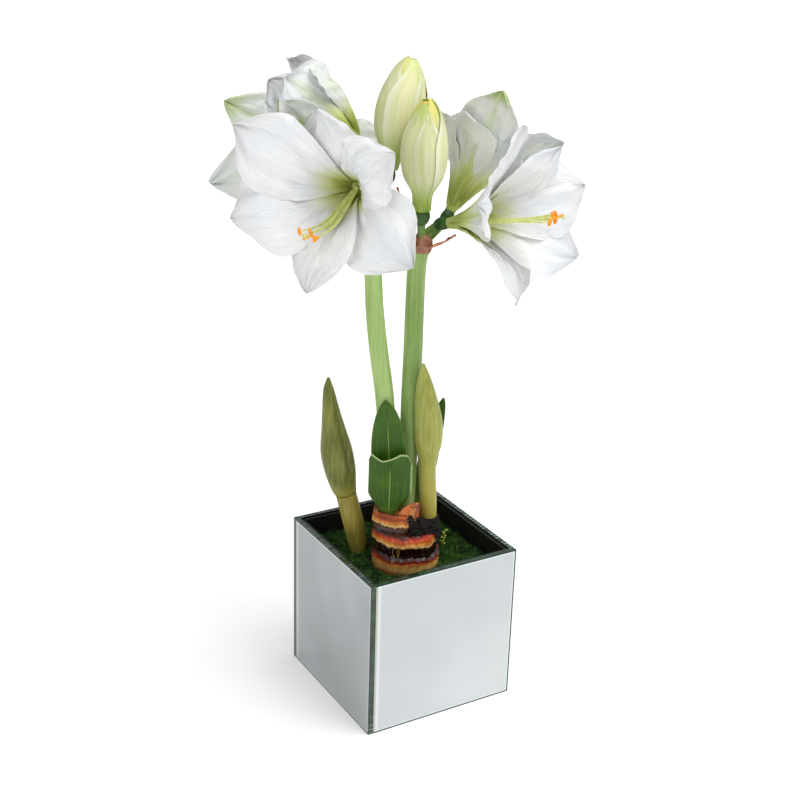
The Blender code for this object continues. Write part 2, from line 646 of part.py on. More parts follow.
def main():
    """Build the pot first, then what grows in it."""
    clear_scene()
    mirror = finish("mirror_glass", (0.72, 0.75, 0.76), 0.05, 1.0)
    backing = finish("base_board", (0.05, 0.05, 0.05), 0.7)
    liner_black = finish("liner_black", (0.01, 0.01, 0.01), 0.6)
    soil_dark = finish("soil_dark", (0.03, 0.02, 0.012), 0.95)
    moss_green = finish("moss_green", (0.03, 0.10, 0.015), 0.95)
    tunic = finish("bulb_tunic", (0.55, 0.16, 0.04), 0.35)
    stem_green = finish("stem_green", (0.30, 0.44, 0.14), 0.45)
    leaf_green = finish("leaf_green", (0.04, 0.10, 0.015), 0.4)
    young_green = finish("young_green", (0.38, 0.38, 0.08), 0.4)
    bud_green = finish("bud_green", (0.22, 0.24, 0.04), 0.4)
    petal = finish("petal_white", (0.86, 0.87, 0.86), 0.5)
    bud_cream = finish("bud_cream", (0.66, 0.70, 0.38), 0.5)
    pollen = finish("stamen_yellow", (0.80, 0.78, 0.35), 0.5)
    bract_brown = finish("bract_brown", (0.36, 0.16, 0.08), 0.7)

    plant = bpy.data.objects.new("plant", None)
    bpy.context.collection.objects.link(plant)
    plant.rotation_euler.z = PLANT_TURN
    bpy.context.view_layer.update()

    room, floor = make_pot(mirror, backing, liner_black)
    make_ground(room, floor, soil_dark, moss_green, plant)
    make_bulb(tunic, plant)

    flowers = {bloom.name: (bloom.base, bloom.axis, 5.6) for bloom in BLOOMS}
    for bud in BUDS:
        flowers[bud.name] = (bud.base, Vector(bud.tip) - Vector(bud.base), 7.0)
    for side, knots in (("left", SCAPE_LEFT), ("right", SCAPE_RIGHT)):
        ovaries = [flower for name, flower in flowers.items() if side in name.split("_")[1]]
        make_scape("scape_" + side, knots, ovaries, stem_green, plant)
    for name, knots in (("bract_left", SCAPE_LEFT), ("bract_right", SCAPE_RIGHT)):
        make_bracts(name, knots, bract_brown, plant)

    for name in LEAVES:
        dress(make_leaf(name), leaf_green, plant)
    dress(stem("young_scape_left", YOUNG_SCAPE_LEFT, depth=YOUNG_DEPTH), young_green, plant)
    dress(stem("young_bud_left", YOUNG_BUD_LEFT, depth=YOUNG_DEPTH), bud_green, plant)
    dress(stem("young_scape_right", YOUNG_SCAPE_RIGHT, depth=YOUNG_DEPTH), young_green, plant)
    for bloom in BLOOMS:
        make_bloom(bloom, petal, pollen, plant)
    for bud in BUDS:
        make_bud(bud, bud_cream, plant)


if __name__ == "__main__":
    main()
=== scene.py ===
"""Looks of a potted amaryllis: two flowering scapes on one bulb, in a cube pot of mirror glass.

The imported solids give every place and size. What grows is written here in the plant's own frame, in
millimetres: X to the right, -Y to the front, Z up from the pot's underside. That frame is turned in the pot
by PLANT_TURN, and its pieces are changed to metres in the row's frame where their meshes are made.
"""

import json
import logging
import math
from collections.abc import Callable, Sequence
from dataclasses import dataclass, field
from enum import Enum

import bpy
import numpy as np
from mathutils import Matrix, Vector

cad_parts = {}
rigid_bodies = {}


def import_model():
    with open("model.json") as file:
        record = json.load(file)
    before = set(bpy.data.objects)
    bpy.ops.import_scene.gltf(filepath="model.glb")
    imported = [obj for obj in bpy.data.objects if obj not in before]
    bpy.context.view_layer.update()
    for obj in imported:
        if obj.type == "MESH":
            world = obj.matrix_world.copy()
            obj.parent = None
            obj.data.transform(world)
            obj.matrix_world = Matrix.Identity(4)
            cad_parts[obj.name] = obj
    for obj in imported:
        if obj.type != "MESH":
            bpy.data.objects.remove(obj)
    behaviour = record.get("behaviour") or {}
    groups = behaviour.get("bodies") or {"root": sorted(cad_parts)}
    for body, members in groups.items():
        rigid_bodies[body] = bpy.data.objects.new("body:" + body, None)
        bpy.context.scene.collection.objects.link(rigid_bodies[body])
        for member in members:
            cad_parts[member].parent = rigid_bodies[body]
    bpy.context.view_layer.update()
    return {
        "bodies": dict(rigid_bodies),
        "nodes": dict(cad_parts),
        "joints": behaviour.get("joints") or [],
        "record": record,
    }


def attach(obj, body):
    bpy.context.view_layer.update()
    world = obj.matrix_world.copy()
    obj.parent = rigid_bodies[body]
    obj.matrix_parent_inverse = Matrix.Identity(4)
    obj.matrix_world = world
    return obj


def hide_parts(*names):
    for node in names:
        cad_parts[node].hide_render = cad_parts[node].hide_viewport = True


log = logging.getLogger("amaryllis")

MM = 0.001
PLANT_TURN = math.radians(-31.0)
BLADE_MAP = "blade"
ROOT = "root"
UP = np.array([0.0, 0.0, 1.0])
GAP = 0.3


class Side(Enum):
    """The two flowering scapes."""
    LEFT = "left"
    RIGHT = "right"


class Growth(Enum):
    """The nodes that share one kind of leaf-like blade."""
    POINTED = "pointed"
    TRIMMED = "trimmed"


class Facing(Enum):
    """The axis that a mirror panel's large faces look along."""
    X = 0
    Y = 1


# ---- shader graphs


@dataclass(frozen=True)
class Wire:
    """A number in a shader graph; arithmetic on it adds Math nodes."""
    graph: "Graph"
    socket: bpy.types.NodeSocket

    def __add__(self, other: "Wire | float") -> "Wire":
        """This plus other."""
        return self.graph.maths("ADD", self, other)

    def __sub__(self, other: "Wire | float") -> "Wire":
        """This less other."""
        return self.graph.maths("SUBTRACT", self, other)

    def __rsub__(self, other: float) -> "Wire":
        """Other less this."""
        return self.graph.maths("SUBTRACT", other, self)

    def __mul__(self, other: "Wire | float") -> "Wire":
        """This times other."""
        return self.graph.maths("MULTIPLY", self, other)

    def __truediv__(self, other: "Wire | float") -> "Wire":
        """This over other."""
        return self.graph.maths("DIVIDE", self, other)

    def __pow__(self, power: float) -> "Wire":
        """This to a power."""
        return self.graph.maths("POWER", self, power)

    __radd__ = __add__
    __rmul__ = __mul__

    def size(self) -> "Wire":
        """This without its sign."""
        return self.graph.maths("ABSOLUTE", self)

    def wave(self) -> "Wire":
        """The sine of this."""
        return self.graph.maths("SINE", self)

    def rise(self, low: float, high: float) -> "Wire":
        """Smooth step from 0 at low to 1 at high, which may lie the other way round.

        Args:
            low: value that gives 0.
            high: value that gives 1.

        Returns:
            The step, from 0 to 1.
        """
        start, end, first, last = (low, high, 0.0, 1.0) if low < high else (high, low, 1.0, 0.0)
        made = self.graph.node("ShaderNodeMapRange", {"interpolation_type": "SMOOTHSTEP"},
                               {"Value": self, "From Min": start, "From Max": end, "To Min": first, "To Max": last})
        return Wire(self.graph, made.outputs["Result"])


Colour = tuple[float, float, float]


def tint(code: str) -> Colour:
    """Linear colour from a web colour.

    Args:
        code: six hexadecimal digits.

    Returns:
        Red, green and blue from 0 to 1.
    """
    parts = [int(code[i:i + 2], 16) / 255 for i in (0, 2, 4)]
    return tuple(p / 12.92 if p <= 0.04045 else ((p + 0.055) / 1.055) ** 2.4 for p in parts)


class Graph:
    """The shader graph of one material, built round its Principled shader."""

    def __init__(self, name: str) -> None:
        """Start a material.

        Args:
            name: the material's name.
        """
        self.material = bpy.data.materials.new(name)
        self.material.use_nodes = True
        self.tree = self.material.node_tree
        self.shader = self.tree.nodes["Principled BSDF"]

    def plug(self, socket: bpy.types.NodeSocket, value: object) -> None:
        """Link a wire or a socket to a socket, or set the socket's own value.

        Args:
            socket: the input to fill.
            value: a Wire, a socket, a number, a vector or a colour.
        """
        if isinstance(value, Wire):
            value = value.socket
        if isinstance(value, bpy.types.NodeSocket):
            self.tree.links.new(value, socket)
        elif socket.type == "RGBA" and len(value) == 3:
            socket.default_value = (*value, 1.0)
        else:
            socket.default_value = value

    def node(self, kind: str, settings: dict[str, object] | None = None,
             sockets: dict[str | int, object] | None = None) -> bpy.types.Node:
        """Add a node: its settings first, then the values or links of its sockets.

        Args:
            kind: the node's type.
            settings: its properties; stops gives a ramp's positions and colours.
            sockets: its inputs by name or number.

        Returns:
            The node.
        """
        made = self.tree.nodes.new(kind)
        for name, value in (settings or {}).items():
            if name == "stops":
                ramp = made.color_ramp.elements
                while len(ramp) < len(value):
                    ramp.new(0.5)
                for stop, (position, colour) in zip(ramp, value):
                    stop.position = position
                    stop.color = (*colour, 1.0)
            else:
                setattr(made, name, value)
        for name, value in (sockets or {}).items():
            self.plug(made.inputs[name], value)
        return made

    def maths(self, operation: str, *values: Wire | float) -> Wire:
        """Add a Math node.

        Args:
            operation: the Math node's operation.
            values: its one or two numbers.

        Returns:
            Its result.
        """
        made = self.node("ShaderNodeMath", {"operation": operation}, dict(enumerate(values)))
        return Wire(self, made.outputs[0])

    def mix(self, share: Wire | float, first: object, second: object) -> bpy.types.NodeSocket:
        """Colour between two colours.

        Args:
            share: how much of the second.
            first: a colour or a colour socket.
            second: a colour or a colour socket.

        Returns:
            The mixed colour.
        """
        made = self.node("ShaderNodeMix", {"data_type": "RGBA", "clamp_factor": True},
                         {0: share, 6: first, 7: second})
        return made.outputs[2]

    def ramp(self, value: Wire, stops: Sequence[tuple[float, Colour]]) -> bpy.types.NodeSocket:
        """Colour that follows a number.

        Args:
            value: the number.
            stops: positions from 0 to 1, each with its colour.

        Returns:
            The colour.
        """
        return self.node("ShaderNodeValToRGB", {"stops": stops}, {"Fac": value}).outputs["Color"]

    def place(self) -> bpy.types.NodeSocket:
        """The point in the row's frame, in metres."""
        return self.node("ShaderNodeTexCoord").outputs["Object"]

    def parts(self, vector: bpy.types.NodeSocket) -> tuple[Wire, Wire, Wire]:
        """A vector's three numbers."""
        made = self.node("ShaderNodeSeparateXYZ", sockets={0: vector})
        return tuple(Wire(self, made.outputs[i]) for i in range(3))

    def stretch(self, vector: bpy.types.NodeSocket, by: Colour) -> bpy.types.NodeSocket:
        """A vector, each part times its own number."""
        return self.node("ShaderNodeVectorMath", {"operation": "MULTIPLY"}, {0: vector, 1: by}).outputs[0]

    def blade(self) -> tuple[Wire, Wire, bpy.types.NodeSocket]:
        """Where a point lies on its blade.

        Returns:
            Distance from the midrib from 0 to 1, distance from root to tip from 0 to 1, and both as a vector.
        """
        spot = self.node("ShaderNodeUVMap", {"uv_map": BLADE_MAP}).outputs[0]
        across, along, _ = self.parts(spot)
        return (across * 2 - 1).size(), along, spot

    def noise(self, vector: bpy.types.NodeSocket, scale: float, detail: float = 2.0, rough: float = 0.5) -> Wire:
        """Soft noise from 0 to 1.

        Args:
            vector: the point that it is read at.
            scale: how many waves to a unit.
            detail: how many finer layers it has.
            rough: how strong the finer layers are.

        Returns:
            The noise.
        """
        made = self.node("ShaderNodeTexNoise", sockets={"Vector": vector, "Scale": scale, "Detail": detail,
                                                        "Roughness": rough})
        return Wire(self, made.outputs["Fac"])

    def bump(self, height: Wire, depth: float, strength: float = 1.0) -> None:
        """Give the surface a fine relief.

        Args:
            height: the relief from 0 to 1.
            depth: its depth in millimetres.
            strength: how much of it shows.
        """
        made = self.node("ShaderNodeBump", sockets={"Height": height, "Distance": depth * MM, "Strength": strength})
        self.plug(self.shader.inputs["Normal"], made.outputs[0])

    def finish(self, **values: object) -> bpy.types.Material:
        """Fill the shader's sockets, with an underscore for each space, and return the material.

        Args:
            values: each socket's value or link.

        Returns:
            The material.
        """
        for name, value in values.items():
            self.plug(self.shader.inputs[name.replace("_", " ")], value)
        return self.material


# ---- finishes


@dataclass(frozen=True)
class PetalFinish:
    """White petal: yellow-green deep in the throat, fine veins, soft crinkles, and green ribs on its outer face."""
    name: str
    throat: float = 0.56
    rib: float = 0.0
    tip: float = 0.0

    def paint(self) -> bpy.types.Material:
        """Make the material."""
        g = Graph(self.name)
        edge, along, spot = g.blade()
        place = g.place()
        veins = g.noise(g.stretch(spot, (26.0, 1.3, 1.0)), 2.2, 3.0, 0.6)
        cloud = g.noise(place, 34.0, 2.0)
        crinkle = g.noise(g.stretch(spot, (6.0, 3.0, 1.0)), 2.6, 4.0, 0.62)
        white = g.mix(cloud.rise(0.3, 0.75), tint("e9ebef"), tint("f2f1ee"))
        white = g.mix(veins.rise(0.62, 0.30) * 0.35, white, tint("cfd4da"))
        reach = along + edge * 0.10 + (veins - 0.5) * 0.16
        warm = g.mix(reach.rise(self.throat, self.throat * 0.42), white, tint("d2d878"))
        deep = g.mix(reach.rise(self.throat * 0.62, self.throat * 0.25) * 0.95, warm, tint("98a226"))
        stripe = edge.rise(0.30, 0.02) * (0.35 + 0.65 * (1.0 - along)) + veins.rise(0.45, 0.62) * 0.45
        green = g.mix(stripe * self.rib, deep, tint("b9cc7a"))
        tipped = g.mix(along.rise(0.84, 0.99) * self.tip, green, tint("a9c560"))
        g.bump(veins * 0.8 + crinkle * 1.2, 2.4, 0.75)
        return g.finish(Base_Color=tipped, Roughness=0.46, Specular_IOR_Level=0.35, Subsurface_Weight=0.18,
                        Subsurface_Radius=(1.0, 0.95, 0.8), Subsurface_Scale=0.0022,
                        Sheen_Weight=0.12, Sheen_Roughness=0.4)


@dataclass(frozen=True)
class ClosedPetalFinish:
    """Petal of a closed flower: green at its base and along its rib, cream between, and pale at its edges."""
    name: str
    belly: Colour
    head: Colour

    def paint(self) -> bpy.types.Material:
        """Make the material."""
        g = Graph(self.name)
        edge, along, spot = g.blade()
        veins = g.noise(g.stretch(spot, (24.0, 1.2, 1.0)), 2.0, 3.0, 0.6)
        base = g.mix(veins.rise(0.35, 0.7), self.belly, tint("e3e2b4"))
        base = g.mix(edge.rise(0.72, 0.99) * 0.7, base, tint("eef0dc"))
        base = g.mix((along + veins * 0.14).rise(0.44, 0.14), base, tint("a7bd58"))
        base = g.mix((along + veins * 0.10).rise(0.20, 0.04), base, tint("7f9a35"))
        base = g.mix(edge.rise(0.26, 0.0) * 0.45, base, tint("b4c468"))
        base = g.mix(along.rise(0.78, 0.99) * 0.8, base, self.head)
        g.bump(veins, 0.5, 0.6)
        return g.finish(Base_Color=base, Roughness=0.42, Specular_IOR_Level=0.4, Subsurface_Weight=0.15,
                        Subsurface_Radius=(1.0, 0.9, 0.5), Subsurface_Scale=0.002)


@dataclass(frozen=True)
class StemFinish:
    """Smooth, waxy green stem with fine lengthwise fibres and a paler bloom."""
    name: str
    light: Colour
    dark: Colour
    foot: Colour
    foot_height: float
    head_height: float

    def paint(self) -> bpy.types.Material:
        """Make the material."""
        g = Graph(self.name)
        place = g.place()
        _, _, height = g.parts(place)
        fibre = g.noise(g.stretch(place, (1.0, 1.0, 0.03)), 420.0, 3.0)
        cloud = g.noise(g.stretch(place, (1.0, 1.0, 0.35)), 60.0, 3.0)
        colour = g.mix(fibre.rise(0.3, 0.7) * 0.5 + cloud.rise(0.35, 0.7) * 0.5, self.dark, self.light)
        colour = g.mix(height.rise(self.head_height * MM, self.foot_height * MM), colour, self.foot)
        specks = g.noise(place, 900.0, 1.0).rise(0.70, 0.78)
        colour = g.mix(specks * 0.25, colour, tint("e2e8c4"))
        g.bump(fibre * 0.6 + cloud * 0.4, 0.25, 0.7)
        return g.finish(Base_Color=colour, Roughness=fibre.rise(0.0, 1.0) * 0.14 + 0.32, Specular_IOR_Level=0.32,
                        Subsurface_Weight=0.06, Subsurface_Radius=(0.6, 1.0, 0.3), Subsurface_Scale=0.0025,
                        Coat_Weight=0.05, Coat_Roughness=0.3)


@dataclass(frozen=True)
class LeafFinish:
    """Dark strap leaf with parallel veins, a thin pale midrib and pale margins."""
    name: str
    margin: float
    cut: float

    def paint(self) -> bpy.types.Material:
        """Make the material."""
        g = Graph(self.name)
        edge, along, spot = g.blade()
        veins = g.noise(g.stretch(spot, (30.0, 0.5, 1.0)), 2.4, 2.0, 0.5)
        cloud = g.noise(g.place(), 55.0, 3.0)
        colour = g.mix(veins.rise(0.35, 0.68), tint("274806"), tint("41690e"))
        colour = g.mix(cloud.rise(0.45, 0.8) * 0.35, colour, tint("587d18"))
        colour = g.mix(edge.rise(0.045, 0.012) * along.rise(0.90, 0.70) * 0.8, colour, tint("7b9a45"))
        colour = g.mix(edge.rise(0.10, 0.05) * edge.rise(0.03, 0.06) * 0.5, colour, tint("1c3804"))
        colour = g.mix(along.rise(0.30, 0.02), colour, tint("7f9440"))
        colour = g.mix(edge.rise(1.0 - self.margin, 1.0) * along.rise(0.2, 0.7) * 0.6, colour, tint("93a860"))
        colour = g.mix(along.rise(1.0 - self.cut, 1.0 - self.cut * 0.3) * (1.0 if self.cut else 0.0), colour,
                       tint("a9b97e"))
        right = g.parts(spot)[0].rise(0.945, 0.975) * along.rise(0.30, 0.55) * (1.0 if self.cut else 0.0)
        colour = g.mix(right * 0.85, colour, tint("a9bd78"))
        g.bump(veins * 0.7 + edge.rise(0.0, 0.08) * 0.5, 0.35, 0.8)
        return g.finish(Base_Color=colour, Roughness=cloud * 0.18 + 0.34, Specular_IOR_Level=0.28,
                        Subsurface_Weight=0.04, Subsurface_Radius=(0.5, 1.0, 0.2), Subsurface_Scale=0.002)


@dataclass(frozen=True)
class TunicFinish:
    """Layered bulb: orange-red shoulders that fade to cream, with dark, glossy, dried bands between them."""
    name: str = "bulb_tunic_fine"

    def paint(self) -> bpy.types.Material:
        """Make the material."""
        g = Graph(self.name)
        _, along, _ = g.blade()
        place = g.place()
        fibre = g.noise(g.stretch(place, (1.0, 1.0, 0.10)), 420.0, 4.0, 0.65)
        blotch = g.noise(g.stretch(place, (1.0, 1.0, 0.7)), 95.0, 4.0, 0.65)
        cloud = g.noise(place, 32.0, 2.0)
        spot = along + (blotch - 0.5) * 0.085 + (fibre - 0.5) * 0.020
        red, orange, cream, peach = tint("b5300e"), tint("cf661a"), tint("e2bd72"), tint("dc9a48")
        dark, brown, rust = tint("1c0805"), tint("521a0d"), tint("8f3a18")
        stops = [(0.00, dark), (0.27, brown), (0.33, red), (0.365, orange), (0.41, cream), (0.465, peach),
                 (0.500, red), (0.522, brown), (0.542, dark), (0.640, dark), (0.654, brown), (0.670, cream),
                 (0.694, peach), (0.722, orange), (0.748, red), (0.768, brown), (0.784, dark), (0.836, brown),
                 (0.860, cream), (0.884, peach), (0.912, orange), (0.942, rust), (0.976, orange), (1.00, brown)]
        wet = (spot - 0.592).size().rise(0.062, 0.042) + (spot - 0.808).size().rise(0.042, 0.026)
        colour = g.ramp(spot, stops)
        colour = g.mix(fibre.rise(0.55, 0.72) * 0.55, colour, tint("6e2412"))
        colour = g.mix(blotch.rise(0.56, 0.72) * (1.0 - wet) * 0.45, colour, tint("ecd193"))
        colour = g.mix(cloud.rise(0.50, 0.68) * 0.45, colour, tint("4a160a"))
        g.bump(fibre * 0.8 + blotch * 0.6, 1.2, 0.85)
        return g.finish(Base_Color=colour, Roughness=0.52 - wet * 0.34 + (blotch - 0.5) * 0.2,
                        Specular_IOR_Level=0.4, Coat_Weight=wet * 0.5, Coat_Roughness=0.15)


@dataclass(frozen=True)
class MottledFinish:
    """Two or three colours in soft blotches, with relief; it serves bracts, moss, soil, knobs, anthers and more."""
    name: str
    dark: Colour
    middle: Colour
    light: Colour
    scale: float
    depth: float
    roughness: float = 0.7
    streak: float = 1.0
    gloss: float = 0.0
    glow: float = 0.0

    def paint(self) -> bpy.types.Material:
        """Make the material."""
        g = Graph(self.name)
        place = g.place()
        drawn = g.stretch(place, (1.0, 1.0, self.streak))
        coarse = g.noise(drawn, self.scale, 3.0, 0.6)
        fine = g.noise(drawn, self.scale * 4.3, 3.0, 0.6)
        colour = g.mix(coarse.rise(0.32, 0.62), self.dark, self.middle)
        colour = g.mix(fine.rise(0.50, 0.74) * 0.8, colour, self.light)
        g.bump(coarse * 0.6 + fine * 0.5, self.depth, 0.9)
        return g.finish(Base_Color=colour, Roughness=fine * 0.2 + (self.roughness - 0.1), Coat_Weight=self.gloss,
                        Coat_Roughness=0.2, Subsurface_Weight=self.glow, Subsurface_Scale=0.001)


@dataclass(frozen=True)
class MirrorFinish:
    """Mirror panel: silvered faces with a painted sheen, a dark line and a light line inside it, and green glass along
    its ends with dashes of painted highlight.
    """
    name: str
    facing: Facing
    side: float
    silver: Colour
    glint_strength: float

    def paint(self) -> bpy.types.Material:
        """Make the material."""
        g = Graph(self.name)
        place = g.place()
        normal = g.parts(g.node("ShaderNodeNewGeometry").outputs["Normal"])[self.facing.value]
        face = normal.size().rise(0.55, 0.85)
        x, y, z = g.parts(place)
        run = (y, x)[self.facing.value] * (self.side * 1000)
        high = z * 1000
        outer = g.maths("MINIMUM", 75.0 - run, g.maths("MINIMUM", 150.0 - high, high))
        inner = run + 70.2
        haze = g.noise(place, 9.0, 2.0)
        silver = g.mix(haze.rise(0.35, 0.7) * 0.20, self.silver, tint("dfe5e6"))
        # Painted sheen: a soft diagonal gradient of lighter silver across each face, lighter towards the bottom and
        # towards one end.
        painted_sheen = (run * 0.6 - high * 0.8 + 20.0).rise(-60.0, 70.0)
        silver = g.mix(painted_sheen * 0.22, silver, tint("dcdedd"))
        silver = g.mix(outer.rise(1.3, 1.6) * outer.rise(2.8, 2.3) * 0.45, silver, tint("e9efef"))
        silver = g.mix(inner.rise(1.6, 2.2) * inner.rise(5.2, 4.8) * 0.35, silver, tint("e9efef"))
        silver = g.mix(inner.rise(2.0, 1.5) * 0.7, silver, tint("a9a48c"))
        silver = g.mix(outer.rise(1.5, 1.1), silver, tint("1d3626"))
        cloud = g.noise(place, 140.0, 3.0)
        # Painted highlights: pale dashes every 4.4 mm along the green glass edges, near the bottom and at the top rim
        # only, at each panel's own strength.
        painted_glints = ((run + high) * (2 * math.pi / 4.4)).wave().rise(0.55, 0.95)
        edge = g.mix(cloud.rise(0.35, 0.7), tint("12281a"), tint("2c4a36"))
        shown = high.rise(30.0, 8.0) + high.rise(149.2, 149.5)
        edge = g.mix(painted_glints * cloud.rise(0.40, 0.56) * shown * self.glint_strength, edge, tint("b4c2b2"))
        return g.finish(Base_Color=g.mix(face, edge, silver), Metallic=face, Roughness=0.20 - face * 0.15,
                        Coat_Weight=0.25, Coat_Roughness=0.04)


@dataclass(frozen=True)
class FloorFinish:
    """Plain pale floor that stays as bright far away as it is under the key light."""
    name: str = "floor_pale"
    near: float = 0.35
    far: float = 1.9

    def paint(self) -> bpy.types.Material:
        """Make the material."""
        g = Graph(self.name)
        place = g.place()
        grain = g.noise(place, 3.0, 2.0)
        x, y, _ = g.parts(place)
        away = (x * x + y * y) ** 0.5
        glow = away.rise(self.near, self.far) * 0.74 + 0.26
        return g.finish(Base_Color=g.mix(grain, (0.93, 0.93, 0.93), (0.95, 0.95, 0.95)), Roughness=0.6,
                        Specular_IOR_Level=0.2, Emission_Color=g.mix(glow, (0.0, 0.0, 0.0), (1.0, 1.0, 1.0)),
                        Emission_Strength=0.75)


# ---- mesh making

Array = np.ndarray


def ease(t: Array) -> Array:
    """Smooth step from 0 to 1."""
    t = np.clip(t, 0.0, 1.0)
    return t * t * (3 - 2 * t)


def unit(vectors: Array) -> Array:
    """Vectors made one long."""
    return vectors / np.maximum(np.linalg.norm(vectors, axis=-1, keepdims=True), 1e-9)


def smooth_path(knots: Sequence[Sequence[float]], steps: int) -> Array:
    """Points of a Catmull-Rom curve.

    Args:
        knots: points that it passes through, with any further numbers they carry.
        steps: points to each stretch.

    Returns:
        The points, one to a row.
    """
    knots = np.array(knots, float)
    ends = np.vstack([2 * knots[0] - knots[1], knots, 2 * knots[-1] - knots[-2]])
    t = np.arange(steps)[:, None] / steps
    path = []
    for a, b, c, d in zip(ends, ends[1:], ends[2:], ends[3:]):
        path.append(0.5 * (2 * b + (c - a) * t + (2 * a - 5 * b + 4 * c - d) * t * t
                           + (3 * b - a - 3 * c + d) * t ** 3))
    return np.vstack([*path, knots[-1]])


def turned_path(path: Array, sides: int, depth: float = 1.0) -> tuple[Array, Array, Array]:
    """Frames along a path, carried without twist.

    Args:
        path: points, one to a row.
        sides: how many directions round it.
        depth: how flat the section is from front to back.

    Returns:
        The angles, the side vectors and the front vectors.
    """
    along = unit(np.gradient(path, axis=0))
    side = np.array([1.0, 0.0, 0.0])
    sides_out, fronts = [], []
    for direction in along:
        side = side - direction * side.dot(direction)
        side = side / np.linalg.norm(side)
        sides_out.append(side)
        fronts.append(np.cross(direction, side) * depth)
    turns = 2 * math.pi * (np.arange(sides) + 0.5) / sides
    return turns, np.array(sides_out), np.array(fronts)


Relief = Callable[[Array, Array], Array]


def ribbed(count: int, height: float) -> Relief:
    """Relief of ridges that run along a tube.

    Args:
        count: how many ridges.
        height: their height as a share of the radius.

    Returns:
        The relief.
    """
    return lambda s, turns: 1 + height * np.cos(count * turns + 0.6) + 0 * s


def rough(height: float) -> Relief:
    """Relief that wanders over a tube.

    Args:
        height: how far, as a share of the radius.

    Returns:
        The relief.
    """
    return lambda s, turns: 1 + height * (np.sin(3 * turns + s * 31) * np.cos(5 * turns - s * 47)
                                          + 0.5 * np.sin(9 * turns + s * 83) + 0.4 * np.sin(17 * turns - s * 131))


def folded(turn: float, width: float, depth: float, low: float, high: float) -> Relief:
    """Relief of one groove along part of a tube.

    Args:
        turn: where it runs, in radians round the tube.
        width: its half-width in radians.
        depth: its depth as a share of the radius.
        low: where it starts, from 0 to 1.
        high: where it ends.

    Returns:
        The relief.
    """
    def relief(s: Array, turns: Array) -> Array:
        """One groove."""
        away = np.abs((turns - turn + math.pi) % (2 * math.pi) - math.pi)
        span = ease((s - low) / 0.12) * ease((high - s) / 0.12)
        return 1 - depth * span * np.exp(-(away / width) ** 2) + 0.03 * span * np.exp(-((away - 2 * width) / width) ** 2)
    return relief


